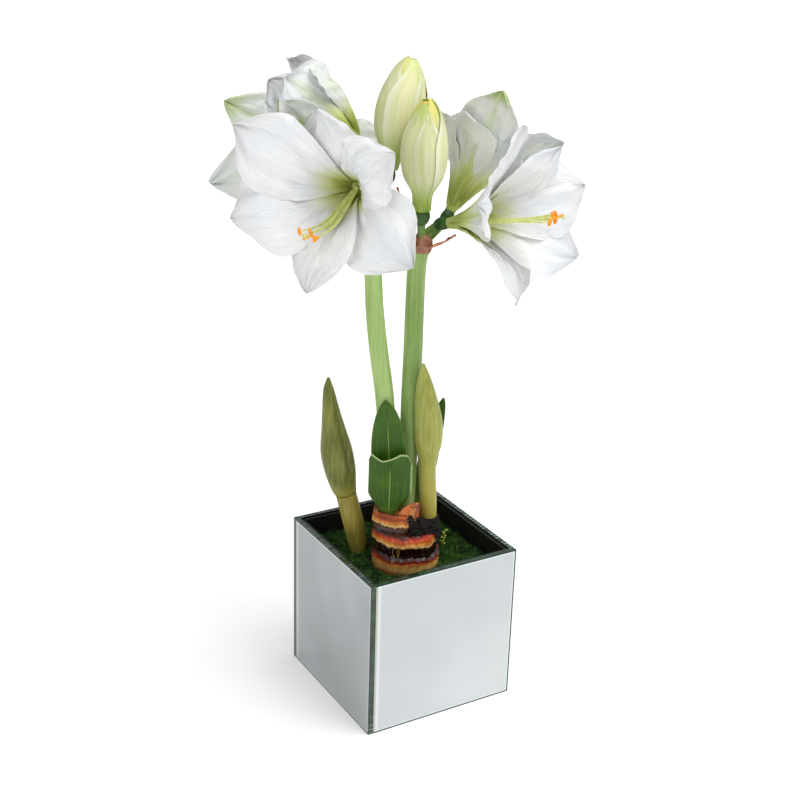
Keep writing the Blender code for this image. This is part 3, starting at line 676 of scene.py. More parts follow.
class Shape:
    """Gathers grids of points in the plant's frame, and becomes one mesh piece."""

    def __init__(self, name: str) -> None:
        """Start an empty piece.

        Args:
            name: the piece's name.
        """
        self.name = name
        self.points: list[Array] = []
        self.maps: list[Array] = []
        self.faces: list[Array] = []
        self.slots: list[Array] = []
        self.count = 0

    def _points(self, points: Array, spots: Array) -> Array:
        """Add points with their places on the blade, and return their numbers in the same layout."""
        numbers = np.arange(points[..., 0].size).reshape(points.shape[:-1]) + self.count
        self.points.append(points.reshape(-1, 3))
        self.maps.append(np.broadcast_to(spots, (*points.shape[:-1], 2)).reshape(-1, 2))
        self.count += points[..., 0].size
        return numbers

    def _faces(self, faces: Array, slot: int) -> None:
        """Add faces of three or four points in one material slot."""
        self.faces.append(faces)
        self.slots.append(np.full(len(faces), slot))

    def sheet(self, points: Array, thickness: Array | float, slots: tuple[int, int] = (0, 0)) -> None:
        """Add a closed thin blade round a grid of points.

        Args:
            points: rows from root to tip, columns from edge to edge.
            thickness: its thickness in millimetres, one number or one for each point.
            slots: the material slots of its inner and outer faces.
        """
        rows, columns = points.shape[:2]
        normal = unit(np.cross(np.gradient(points, axis=0), np.gradient(points, axis=1)))
        half = normal * (np.broadcast_to(thickness, (rows, columns)) / 2)[..., None]
        spots = np.stack(np.meshgrid(np.linspace(0, 1, columns), np.linspace(0, 1, rows)), axis=-1)
        front, back = self._points(points + half, spots), self._points(points - half, spots)
        for grid, slot, order in ((front, slots[0], (0, 1, 2, 3)), (back, slots[1], (3, 2, 1, 0))):
            corners = [grid[:-1, :-1], grid[1:, :-1], grid[1:, 1:], grid[:-1, 1:]]
            self._faces(np.stack([corners[k].ravel() for k in order], axis=1), slot)
        ring = lambda grid: np.concatenate([grid[0, :-1], grid[:-1, -1], grid[-1, :0:-1], grid[:0:-1, 0]])
        a, b = ring(front), ring(back)
        self._faces(np.stack([a, np.roll(a, -1), np.roll(b, -1), b], axis=1), slots[1])

    def loft(self, rings: Array, slot: int = 0, along: Array | None = None) -> None:
        """Add a closed solid through rings of points.

        Args:
            rings: rows from root to tip, columns round each ring.
            slot: its material slot.
            along: each row's place on the blade, evenly spread if not given.
        """
        rows, sides = rings.shape[:2]
        fold = np.abs(2 * np.arange(sides) / sides - 1)
        spots = np.stack(np.meshgrid(fold, np.linspace(0, 1, rows) if along is None else along), axis=-1)
        grid = self._points(rings, spots)
        after = np.roll(grid, -1, axis=1)
        self._faces(np.stack([grid[:-1].ravel(), after[:-1].ravel(), after[1:].ravel(), grid[1:].ravel()], axis=1),
                    slot)
        for ring, flip in ((0, True), (-1, False)):
            middle = self._points(rings[ring].mean(axis=0)[None], spots[ring, 0][None])
            a, b = grid[ring], np.roll(grid[ring], -1)
            first, second = (b, a) if flip else (a, b)
            self._faces(np.stack([first, second, np.broadcast_to(middle, a.shape)], axis=1), slot)

    def tube(self, knots: Sequence[Sequence[float]], sides: int = 24, steps: int = 8, depth: float = 1.0,
             slot: int = 0, relief: Relief | None = None) -> None:
        """Add a tube along knots.

        Args:
            knots: x, y, z and radius of each knot.
            sides: points round it.
            steps: rings to each stretch.
            depth: how flat it is from front to back.
            slot: its material slot.
            relief: what its radius is multiplied by, from the place along it and the turn round it.
        """
        path = smooth_path(knots, steps)
        turns, side, front = turned_path(path[:, :3], sides, depth)
        wide = np.maximum(path[:, 3], 0.12)[:, None] * np.ones((1, sides))
        if relief:
            wide = wide * relief(np.linspace(0, 1, len(path))[:, None], turns[None])
        rings = (path[:, None, :3] + side[:, None] * (np.cos(turns)[None] * wide)[..., None]
                 + front[:, None] * (np.sin(turns)[None] * wide)[..., None])
        self.loft(rings, slot)

    def spikes(self, feet: Array, tips: Array, width: Array, slot: int = 0) -> None:
        """Add many closed three-sided needles.

        Args:
            feet: the middle of each foot.
            tips: each needle's tip.
            width: each foot's radius.
            slot: their material slot.
        """
        along = unit(tips - feet)
        side = unit(np.cross(along, np.array([0.31, 0.57, 0.76])))
        front = np.cross(along, side)
        corners = [feet + (side * math.cos(t) + front * math.sin(t)) * width[:, None]
                   for t in (0.0, 2 * math.pi / 3, 4 * math.pi / 3)]
        points = np.stack([*corners, tips], axis=1)
        spots = np.array([[0.5, 0.0], [0.5, 0.0], [0.5, 0.0], [0.5, 1.0]])
        grid = self._points(points, spots[None])
        for face in ((0, 1, 3), (1, 2, 3), (2, 0, 3), (0, 2, 1)):
            self._faces(grid[:, face], slot)

    def piece(self, finishes: Sequence[bpy.types.Material], replaces: Sequence[str],
              turned: bool = True, sharp: float = 60.0) -> bpy.types.Object:
        """Make the mesh piece, and let it ride and stand for its nodes.

        Args:
            finishes: its materials, in the order of its slots.
            replaces: the nodes that it stands for.
            turned: whether its points are in the plant's frame.
            sharp: the angle in degrees past which an edge stays sharp.

        Returns:
            The piece.
        """
        points = np.vstack(self.points) * MM
        if turned:
            c, s = math.cos(PLANT_TURN), math.sin(PLANT_TURN)
            points = points @ np.array([[c, -s, 0], [s, c, 0], [0, 0, 1]]).T
        mesh = bpy.data.meshes.new(self.name)
        mesh.from_pydata(points.tolist(), [], [face for group in self.faces for face in group.tolist()])
        mesh.polygons.foreach_set("material_index", np.concatenate(self.slots).astype(np.int32))
        corner = np.empty(len(mesh.loops), np.int32)
        mesh.loops.foreach_get("vertex_index", corner)
        spots = np.vstack(self.maps).astype(np.float32)
        mesh.uv_layers.new(name=BLADE_MAP).data.foreach_set("uv", spots[corner].ravel())
        mesh.shade_smooth()
        mesh.set_sharp_from_angle(angle=math.radians(sharp))
        for finish in finishes:
            mesh.materials.append(finish)
        made = bpy.data.objects.new(self.name, mesh)
        bpy.context.collection.objects.link(made)
        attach(made, ROOT)
        if replaces:
            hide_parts(*replaces)
        log.info("%s: %d faces for %s", self.name, len(mesh.polygons), ", ".join(replaces) or "trim")
        return made


# ---- flowers


@dataclass
class Tepal:
    """One petal: where its tip lies in the flower's frame, and how its blade is shaped."""
    azimuth: float
    spread: float
    rise: float
    width: float
    tip_angle: float = 95.0
    cup: float = 18.0
    ruffle: float = 2.5
    phase: float = 0.0
    throat: float = 12.0
    widest: float = 0.60
    curl: float = 0.0

    ROOT_HALF = 5.0
    ROOT_HEIGHT = 5.0
    BEAK = 2.6

    def half_width(self, s: Array) -> Array:
        """Half the blade's width: narrow in the tube, widest past the middle, pointed at the tip."""
        full = self.width / 2
        lower = self.ROOT_HALF + (full - self.ROOT_HALF) * ease(s / self.widest)
        q = np.clip((s - self.widest) / (1 - self.widest), 0, 1)
        return np.where(s < self.widest, lower, np.maximum(full * (1 - q * q) ** 0.78, 0.4))

    def midrib(self, s: Array, claw: float) -> tuple[Array, Array]:
        """The rib's radius and height from root to tip, and their slopes.

        Args:
            s: places from root to tip, 0 to 1.
            claw: the rib's radius in the tube.

        Returns:
            The places and the slopes, each with radius and height.
        """
        flare, tip = math.radians(self.throat), math.radians(self.tip_angle)
        start = np.array([claw, self.ROOT_HEIGHT])
        end = np.array([self.spread, self.rise])
        lead = start + np.array([math.sin(flare), math.cos(flare)]) * self.rise * 0.55
        trail = end - np.array([math.sin(tip), math.cos(tip)]) * self.spread * 0.5
        t = s[:, None]
        place = start * (1 - t) ** 3 + lead * 3 * t * (1 - t) ** 2 + trail * 3 * t * t * (1 - t) + end * t ** 3
        slope = ((lead - start) * (1 - t) ** 2 + (trail - lead) * 2 * t * (1 - t) + (end - trail) * t * t)
        return place, unit(slope)

    def crinkles(self, s: Array, v: Array) -> Array:
        """Fine crinkles and a few soft creases of the blade, from this petal's own seed.

        Args:
            s: places from root to tip.
            v: places from edge to edge.

        Returns:
            The lift in millimetres.
        """
        draw = np.random.default_rng(int(abs(self.azimuth) * 7 + self.width * 3 + self.phase * 100))
        lift = np.zeros(np.broadcast(s, v).shape)
        for _ in range(14):
            across, along, start = draw.uniform(1.0, 4.5), draw.uniform(1.5, 7.0), draw.uniform(0, 2 * math.pi)
            lift = lift + 1.45 / (across + along) * np.sin(math.pi * (across * v + along * s) * draw.choice((-1, 1))
                                                            + math.pi * along * s + start)
        for _ in range(4):
            lean, spot, deep = draw.uniform(-1.2, 1.2), draw.uniform(-0.8, 0.8), draw.uniform(0.8, 2.0)
            span = np.exp(-((s - draw.uniform(0.45, 0.9)) / 0.22) ** 2)
            lift = lift - deep * span * np.exp(-((v - spot - lean * (s - 0.6)) / 0.09) ** 2)
        return lift * ease(s * 2.2)

    def surface(self, rows: int, columns: int, claw: float) -> Array:
        """The blade's middle surface in its flower's frame.

        Args:
            rows: steps from root to tip.
            columns: steps from edge to edge.
            claw: the rib's radius in the tube.

        Returns:
            Points, rows by columns.
        """
        s = np.linspace(0, 1, rows + 1)
        v = np.linspace(-1, 1, columns + 1)[None]
        place, slope = self.midrib(s, claw)
        azimuth = math.radians(self.azimuth)
        out = np.array([math.sin(azimuth), math.cos(azimuth), 0.0])
        across = np.array([-math.cos(azimuth), math.sin(azimuth), 0.0])
        here = place[:, :1] * out + place[:, 1:] * UP
        here = here + (slope[:, :1] * out + slope[:, 1:] * UP) * self.BEAK * ease((s[:, None] - 0.93) / 0.07)
        inward = slope[:, :1] * UP - slope[:, 1:] * out
        s = s[:, None]
        half = self.half_width(s)
        bend = np.radians(62 * (1 - s) ** 3 + self.cup * (1 - s) * 2 - 22 * s)
        bend = np.where(np.abs(bend) < 0.01, 0.01, bend)
        side = np.where(v > 0, 1.0, 0.0)
        rim = np.sin(2 * math.pi * (2.2 * s + self.phase) + 1.9 * side)
        lift = half * (1 - np.cos(bend * v)) / bend + self.ruffle * s * np.abs(v) ** 2.5 * rim
        frill = np.sin(2 * math.pi * (6.3 * s + 2.7 * self.phase) + 2.6 * side)
        frill = frill + 0.6 * np.sin(2 * math.pi * (11.7 * s + 5.3 * self.phase) - 1.7 * side)
        lift = lift + 0.55 * self.ruffle * s * np.abs(v) ** 4 * frill * np.clip(1 - s, 0, 1) ** 0.4
        lift = lift - 0.9 * np.exp(-(v / 0.09) ** 2) * np.sin(math.pi * s) ** 0.7
        wave = np.sin(7.1 * s + 3.1 * v + 6.0 * self.phase) * np.sin(4.3 * v - 5.2 * s + 9.0 * self.phase)
        lift = lift + 1.5 * wave * s * (1 - 0.8 * s) * 2.2
        pleat = np.cos(math.pi * (5.0 + 3.0 * self.phase) * v) * 0.5 * np.sin(math.pi * np.clip(s * 1.1, 0, 1))
        lift = lift + pleat * (1 - v * v)
        lift = lift + self.crinkles(s, v)
        roll = self.curl * s * np.clip(np.abs(v) - 0.55, 0, 1) ** 2 * half
        reach = half * np.sin(bend * v) / bend - np.sign(v) * roll * 0.35
        lift = lift - roll
        return here[:, None] + across * reach[..., None] + inward[:, None] * lift[..., None]


@dataclass
class Frame:
    """A frame in the plant's frame: Z along an axis, Y upward."""
    base: Sequence[float]
    axis: Sequence[float]

    def matrix(self) -> Array:
        """The frame's right, up and forward vectors, one to a row."""
        forward = unit(np.array(self.axis, float))
        up = unit(UP - forward * forward[2])
        return np.array([np.cross(up, forward), up, forward])

    def place(self, points: Array) -> Array:
        """Points of this frame, in the plant's frame."""
        return points @ self.matrix() + np.array(self.base, float)

    def down(self) -> Array:
        """The downward direction across the axis, in this frame."""
        low = self.matrix() @ -UP
        return unit(np.array([low[0], low[1], 0.0]))


@dataclass
class Flower:
    """One flower: six tepals, their tube, and the stamens with the style that stand in it."""
    name: str
    base: tuple[float, float, float]
    axis: tuple[float, float, float]
    tepals: list[Tepal]
    droop: float = 34.0
    reach: float = 74.0
    stamens: int = 6
    rib: float = 0.35
    tip: float = 0.5
    lean: float = 0.0
    throat: float = 0.56

    INNER_CLAW = 4.7
    OUTER_CLAW = 5.6
    TUBE_HEIGHT = 12.0

    def frame(self) -> Frame:
        """The flower's own frame."""
        return Frame(self.base, self.axis)

    def build(self, rows: int, columns: int) -> None:
        """Make the petals, and the stamens if it has any.

        Args:
            rows: steps of each petal from root to tip.
            columns: steps of each petal from edge to edge.
        """
        inner = PetalFinish(f"{self.name}_inner", self.throat).paint()
        whorls = [PetalFinish(f"{self.name}_outer_{k}", 0.44, self.rib * (1 + k), self.tip * k).paint()
                  for k in (0, 1)]
        frame = self.frame()
        shape = Shape(f"{self.name}_petals")
        for number, tepal in enumerate(self.tepals):
            outer = number % 2
            points = tepal.surface(rows, columns, self.OUTER_CLAW if outer else self.INNER_CLAW)
            edge = np.linspace(-1, 1, columns + 1)[None]
            thick = 0.42 + 0.55 * (1 - edge ** 2) * np.linspace(1, 0.3, rows + 1)[:, None]
            shape.sheet(frame.place(points), thick, (0, 1 + outer))
        turns = 2 * math.pi * np.arange(36) / 36
        rings = [np.stack([np.sin(turns) * r, np.cos(turns) * r, np.full(36, h)], axis=1)
                 for h, r in ((GAP, 4.6), (3.0, 5.0), (6.0, 5.6), (9.0, 6.2), (self.TUBE_HEIGHT, 6.6))]
        shape.loft(frame.place(np.array(rings)), 3)
        tube = StemFinish(f"{self.name}_tube", tint("bcc678"), tint("93a84a"), tint("bcc678"), 0.0, 1.0).paint()
        shape.piece([inner, *whorls, tube], [self.name])
        if self.stamens:
            self.build_stamens(frame)

    def build_stamens(self, frame: Frame) -> None:
        """Make the filaments with their curved anthers, and the longer style with its three-lobed stigma.

        Args:
            frame: the flower's frame.
        """
        down = frame.down()
        sideways = np.array([down[1], -down[0], 0.0])
        foot = self.TUBE_HEIGHT + GAP
        shape = Shape(f"{self.name}_threads")
        cushion = [(*frame.place((foot + h) * UP), r) for h, r in ((0.0, 2.6), (2.0, 2.6), (3.5, 1.6))]
        shape.tube(cushion, 20, 4)
        for number in range(self.stamens + 1):
            style = number == self.stamens
            fan = 0.0 if style else (number - (self.stamens - 1) / 2) / self.stamens
            reach = self.reach + (8.0 if style else 3.0 * math.cos(2.4 * number))
            root = UP * (foot + 1.5) + sideways * fan * 4.0
            low = (down * self.droop * 0.75 + UP * (foot + reach * 0.5)
                   + sideways * (fan * 14.0 + self.lean * 0.35))
            tip = (down * (self.droop + 3.0 * math.sin(2.1 * number)) + UP * reach
                   + sideways * (fan * 18.0 + self.lean))
            shape.tube([(*frame.place(root), 1.1), (*frame.place(low), 1.0), (*frame.place(tip), 0.6)], 12, 14)
            if style:
                for lobe in range(3):
                    turn = 2 * math.pi * lobe / 3 + 0.4
                    side = sideways * math.cos(turn) + down * math.sin(turn)
                    knots = [(tip, 0.6), (tip + side * 1.3 + UP * 0.9, 0.7), (tip + side * 2.6 + UP * 0.9, 0.4)]
                    shape.tube([(*frame.place(p), r) for p, r in knots], 8, 5)
                continue
            long = sideways * 3.4 * math.cos(number) + down * 3.4 * math.sin(number)
            bow = UP * 0.9
            knots = [(tip - long, 0.35), (tip - long * 0.6 + bow, 1.15), (tip + bow * 1.4, 1.35),
                     (tip + long * 0.6 + bow, 1.15), (tip + long, 0.35)]
            shape.tube([(*frame.place(p), r) for p, r in knots], 12, 6, slot=1, relief=ribbed(2, 0.22))
        threads = MottledFinish(f"{self.name}_filament", tint("b9bf62"), tint("d2d684"), tint("e6e8b0"), 260.0, 0.1,
                                0.45, 0.3, glow=0.15)
        anthers = MottledFinish(f"{self.name}_anther", tint("d9780c"), tint("f59e1c"), tint("ffc04a"), 900.0, 0.25,
                                0.8)
        shape.piece([threads.paint(), anthers.paint()], [f"{self.name}_stamens"])


@dataclass
class ClosedFlower:
    """A closed flower: three outer petals that lap round three inner ones and a core."""
    name: str
    base: tuple[float, float, float]
    tip: tuple[float, float, float]
    width: float
    turn: float
    neck: float
    lengths: tuple[float, ...]
    head: Colour
    heart: Colour
    close: float

    PROFILE = ((0.15, 0.46), (0.31, 0.86), (0.49, 1.0), (0.67, 0.92), (0.85, 0.64), (0.95, 0.34), (1.0, 0.07))

    def radius(self, s: Array) -> Array:
        """The flower's radius from neck to tip."""
        spots = np.array([(0.0, self.neck / self.width), *self.PROFILE])
        fine = smooth_path(spots, 12)
        return np.interp(s, fine[:, 0], fine[:, 1]) * self.width / 2

    def petal(self, rows: int, columns: int, azimuth: float, length: float, share: float, open_tip: float) -> Array:
        """One petal wrapped round the bud.

        Args:
            rows: steps from root to tip.
            columns: steps from edge to edge.
            azimuth: its middle, in degrees round the bud.
            length: its length as a share of the bud's.
            share: its radius as a share of the bud's.
            open_tip: how far its tip leans out, in millimetres.

        Returns:
            Points in the bud's frame.
        """
        tall = float(np.linalg.norm(np.array(self.tip) - np.array(self.base)))
        s = np.linspace(0, 1, rows + 1)[:, None]
        v = np.linspace(-1, 1, columns + 1)[None]
        half_turn = np.radians(78.0) * (1 - ease((s - 0.55) / 0.45) ** 1.5 * self.close)
        turn = math.radians(self.turn + azimuth) + v * half_turn + 0.25 * s
        height = s * length
        radius = self.radius(height) * share * (1 + 0.055 * v + 0.012 * np.cos(14 * v) * s)
        radius = radius - 0.6 * np.exp(-(v / 0.12) ** 2) * np.sin(math.pi * s) + open_tip * s ** 8
        return np.stack([radius * np.sin(turn), radius * np.cos(turn), GAP + height * tall + 0 * v], axis=-1)

    def build(self, rows: int, columns: int) -> None:
        """Make the bud.

        Args:
            rows: steps of each petal from root to tip.
            columns: steps of each petal from edge to edge.
        """
        frame = Frame(self.base, np.array(self.tip, float) - np.array(self.base, float))
        tall = float(np.linalg.norm(np.array(self.tip) - np.array(self.base)))
        shape = Shape(f"{self.name}_petals")
        turns = 2 * math.pi * np.arange(40) / 40
        levels = np.linspace(0, 0.955, 40)
        core = [np.stack([np.sin(turns) * r, np.cos(turns) * r, np.full(40, GAP + h * tall)], axis=1)
                for h, r in zip(levels, self.radius(levels) * 0.88)]
        shape.loft(frame.place(np.array(core)), 1)
        for number in range(6):
            outer = number < 3
            azimuth = 120 * number + (0 if outer else 60)
            points = self.petal(rows, columns, azimuth, self.lengths[number], 0.985 if outer else 0.93,
                                0.8 if outer else 0.1)
            shape.sheet(frame.place(points)[:, ::-1], 0.7, (0 if outer else 1, 0 if outer else 1))
        outer = ClosedPetalFinish(f"{self.name}_outer", tint("d6d7a0"), self.head)
        inner = ClosedPetalFinish(f"{self.name}_inner", tint("d3d38c"), self.heart)
        shape.piece([outer.paint(), inner.paint()], [self.name])


# ---- stems, bracts and leaves


@dataclass
class Ovary:
    """Where a flower sits on the umbel: its base, its axis and the width of the ovary under it."""
    base: tuple[float, float, float]
    axis: tuple[float, float, float]
    wide: float = 5.6

    LENGTH = 13.0


@dataclass
class Scape:
    """A flowering stem with its knob, and a stalk with a three-lobed ovary for each flower."""
    name: str
    knots: list[tuple[float, float, float, float]]
    ovaries: list[Ovary]
    light: Colour
    dark: Colour

    DEPTH = 0.82
    KNOB = ((-9.0, 7.2), (-5.0, 8.6), (-1.0, 8.9), (4.0, 7.4), (7.0, 4.5))

    def build(self, sides: int, steps: int) -> None:
        """Make the stem with its umbel.

        Args:
            sides: points round the stem.
            steps: rings to each stretch of it.
        """
        shape = Shape(f"{self.name}_fine")
        shape.tube(self.knots, sides, steps, self.DEPTH, relief=ribbed(7, 0.012))
        top = np.array(self.knots[-1][:3])
        shape.tube([(*(top + UP * rise), radius) for rise, radius in self.KNOB], sides, 6, slot=1, relief=rough(0.05))
        for ovary in self.ovaries:
            axis = unit(np.array(ovary.axis, float))
            base = np.array(ovary.base, float)
            foot = base - axis * ovary.LENGTH
            middle = (foot + top) / 2 - axis * 3.0
            wide = ovary.wide
            shape.tube([(*top, 3.6), (*middle, 3.3), (*(foot + axis * 3.0), 3.6)], 24, 10, slot=2,
                       relief=ribbed(3, 0.04))
            knots = [(*(base - axis * ovary.LENGTH * (1 - q)), wide * share)
                     for q, share in ((0.0, 0.60), (0.2, 0.84), (0.5, 1.0), (0.8, 0.94), (1.0, 0.80))]
            shape.tube(knots, 36, 6, slot=3, relief=ribbed(3, 0.075))
        stem = StemFinish(f"{self.name}_skin", self.light, self.dark, tint("9db36a"), 165.0, 215.0)
        knob = MottledFinish(f"{self.name}_knob", tint("7a4a3a"), tint("a8705a"), tint("c79a80"), 190.0, 0.5, 0.6)
        stalk = StemFinish(f"{self.name}_stalk", tint("86a552"), tint("4f7530"), tint("86a552"), 0.0, 1.0)
        seed = StemFinish(f"{self.name}_ovary", tint("3f6b28"), tint("1e3d0c"), tint("2c5a18"), 0.0, 1.0)
        shape.piece([stem.paint(), knob.paint(), stalk.paint(), seed.paint()], [self.name])


@dataclass
class Strap:
    """A leaf-like blade along a curved midrib, rolled across."""
    root: tuple[float, float, float]
    bend: tuple[float, float, float]
    tip: tuple[float, float, float]
    root_half: float
    full_half: float
    facing: tuple[float, float, float]
    curl: float
    widest: float = 0.5
    sharpness: float = 0.75
    growth: Growth = Growth.POINTED
    swell: float = 0.22

    def half_width(self, s: Array) -> Array:
        """Half the blade's width from root to tip."""
        rise = self.full_half - self.root_half
        if self.growth is Growth.TRIMMED:
            return self.root_half + rise * ease((s - self.swell) / (self.widest - self.swell))
        q = np.clip((s - self.widest) / (1 - self.widest), 0, 1)
        upper = np.maximum(self.full_half * (1 - q * q) ** self.sharpness, 0.5)
        return np.where(s < self.widest, self.root_half + rise * ease(s / self.widest), upper)

    def surface(self, rows: int, columns: int, ripple: float = 0.0, crumple: float = 0.0, keel: float = 0.0) -> Array:
        """The blade's middle surface in the plant's frame.

        Args:
            rows: steps from root to tip.
            columns: steps from edge to edge.
            ripple: how far its edges wave, in millimetres.
            crumple: how far its whole face wanders, in millimetres.
            keel: how deep the groove along its midrib is, in millimetres.

        Returns:
            Points, rows by columns.
        """
        root, bend, tip = (np.array(p, float) for p in (self.root, self.bend, self.tip))
        s = np.linspace(0, 1, rows + 1)[:, None]
        v = np.linspace(-1, 1, columns + 1)[None]
        here = root * (1 - s) ** 2 + bend * 2 * s * (1 - s) + tip * s * s
        along = unit((bend - root) * (1 - s) + (tip - bend) * s)
        across = unit(np.cross(along, unit(np.array(self.facing, float))))
        outward = np.cross(across, along)
        half = self.half_width(s)
        roll = math.radians(self.curl)
        lift = half * (1 - np.cos(roll * v)) / roll
        lift = lift + ripple * s * np.abs(v) ** 3 * np.sin(9.0 * s + 2.0 * np.sign(v))
        lift = lift + crumple * s * (np.sin(11 * s + 5 * v) * np.cos(7 * v - 4 * s) + 0.6 * np.sin(19 * s - 9 * v))
        lift = lift + keel * np.exp(-(v / 0.10) ** 2) * np.sin(math.pi * np.clip(s, 0.02, 0.98)) ** 0.4
        reach = half * np.sin(roll * v) / roll
        return here[:, None] + across[:, None] * reach[..., None] - outward[:, None] * lift[..., None]


@dataclass
class Bracts:
    """The two dried, papery bracts at a scape's knob."""
    name: str
    top: tuple[float, float, float]
    blades: tuple[tuple[tuple[float, float, float], tuple[float, float], float, float], ...]

    def build(self, rows: int, columns: int) -> None:
        """Make both bracts.

        Args:
            rows: steps from root to tip.
            columns: steps from edge to edge.
        """
        top = np.array(self.top, float)
        finish = MottledFinish(f"{self.name}_paper", tint("8a4a2e"), tint("b8704c"), tint("d9a27c"), 120.0, 0.6, 0.62,
                               0.4, glow=0.1).paint()
        for letter, (tip, bow, half, seat) in zip("ab", self.blades):
            outward = unit(np.array([tip[0] - top[0], tip[1] - top[1], 0.0]))
            root = top + outward * seat - UP * 4.0
            bend = root + outward * bow[0] + UP * bow[1]
            strap = Strap(tuple(root), tuple(bend), tip, half * 0.8, half, tuple(outward), 30.0, 0.3, 0.9)
            shape = Shape(f"{self.name}_{letter}_fine")
            shape.sheet(strap.surface(rows, columns, 1.4, 0.55), 0.5)
            shape.piece([finish], [f"{self.name}_{letter}"])


@dataclass
class Leaf:
    """One strap leaf."""
    name: str
    strap: Strap
    margin: float
    cut: float

    RIM = ((-1.0, -0.94, -0.85, -0.62, -0.36, 0.0, 0.42, 0.74, 0.90, 1.0),
           (-4.5, -1.2, 1.6, -0.6, -2.9, -0.4, 3.8, 2.2, -3.0, -11.5))

    def build(self, rows: int, columns: int) -> None:
        """Make the leaf.

        Args:
            rows: steps from root to tip.
            columns: steps from edge to edge.
        """
        points = self.strap.surface(rows, columns, 0.8, 0.12, 0.5)
        if self.cut:
            v = np.linspace(-1, 1, columns + 1)
            s = np.linspace(0, 1, rows + 1)[:, None] ** 4
            points = points + UP * (s * np.interp(v, *self.RIM))[..., None]
        edge = np.linspace(-1, 1, columns + 1)[None]
        shape = Shape(f"{self.name}_fine")
        shape.sheet(points, 0.7 + 0.7 * (1 - edge ** 4) * np.ones((rows + 1, 1)))
        shape.piece([LeafFinish(f"{self.name}_green", self.margin, self.cut).paint()], [self.name])


@dataclass
class YoungScape:
    """A young flowering stem with the closed spathe at its top."""
    name: str
    knots: list[tuple[float, float, float, float]]
    nodes: list[str]
    slot: str
    relief: Relief
    light: Colour
    dark: Colour
    foot: Colour
    foot_height: float
    head_height: float
    depth: float = 0.9

    def build(self, sides: int, steps: int) -> None:
        """Make the young stem.

        Args:
            sides: points round it.
            steps: rings to each stretch.
        """
        shape = Shape(f"{self.name}_fine")
        shape.tube(self.knots, sides, steps, self.depth, relief=self.relief)
        finish = StemFinish(f"{self.name}_skin", self.light, self.dark, self.foot, self.foot_height, self.head_height)
        shape.piece([finish.paint()], self.nodes)


# ---- the bulb


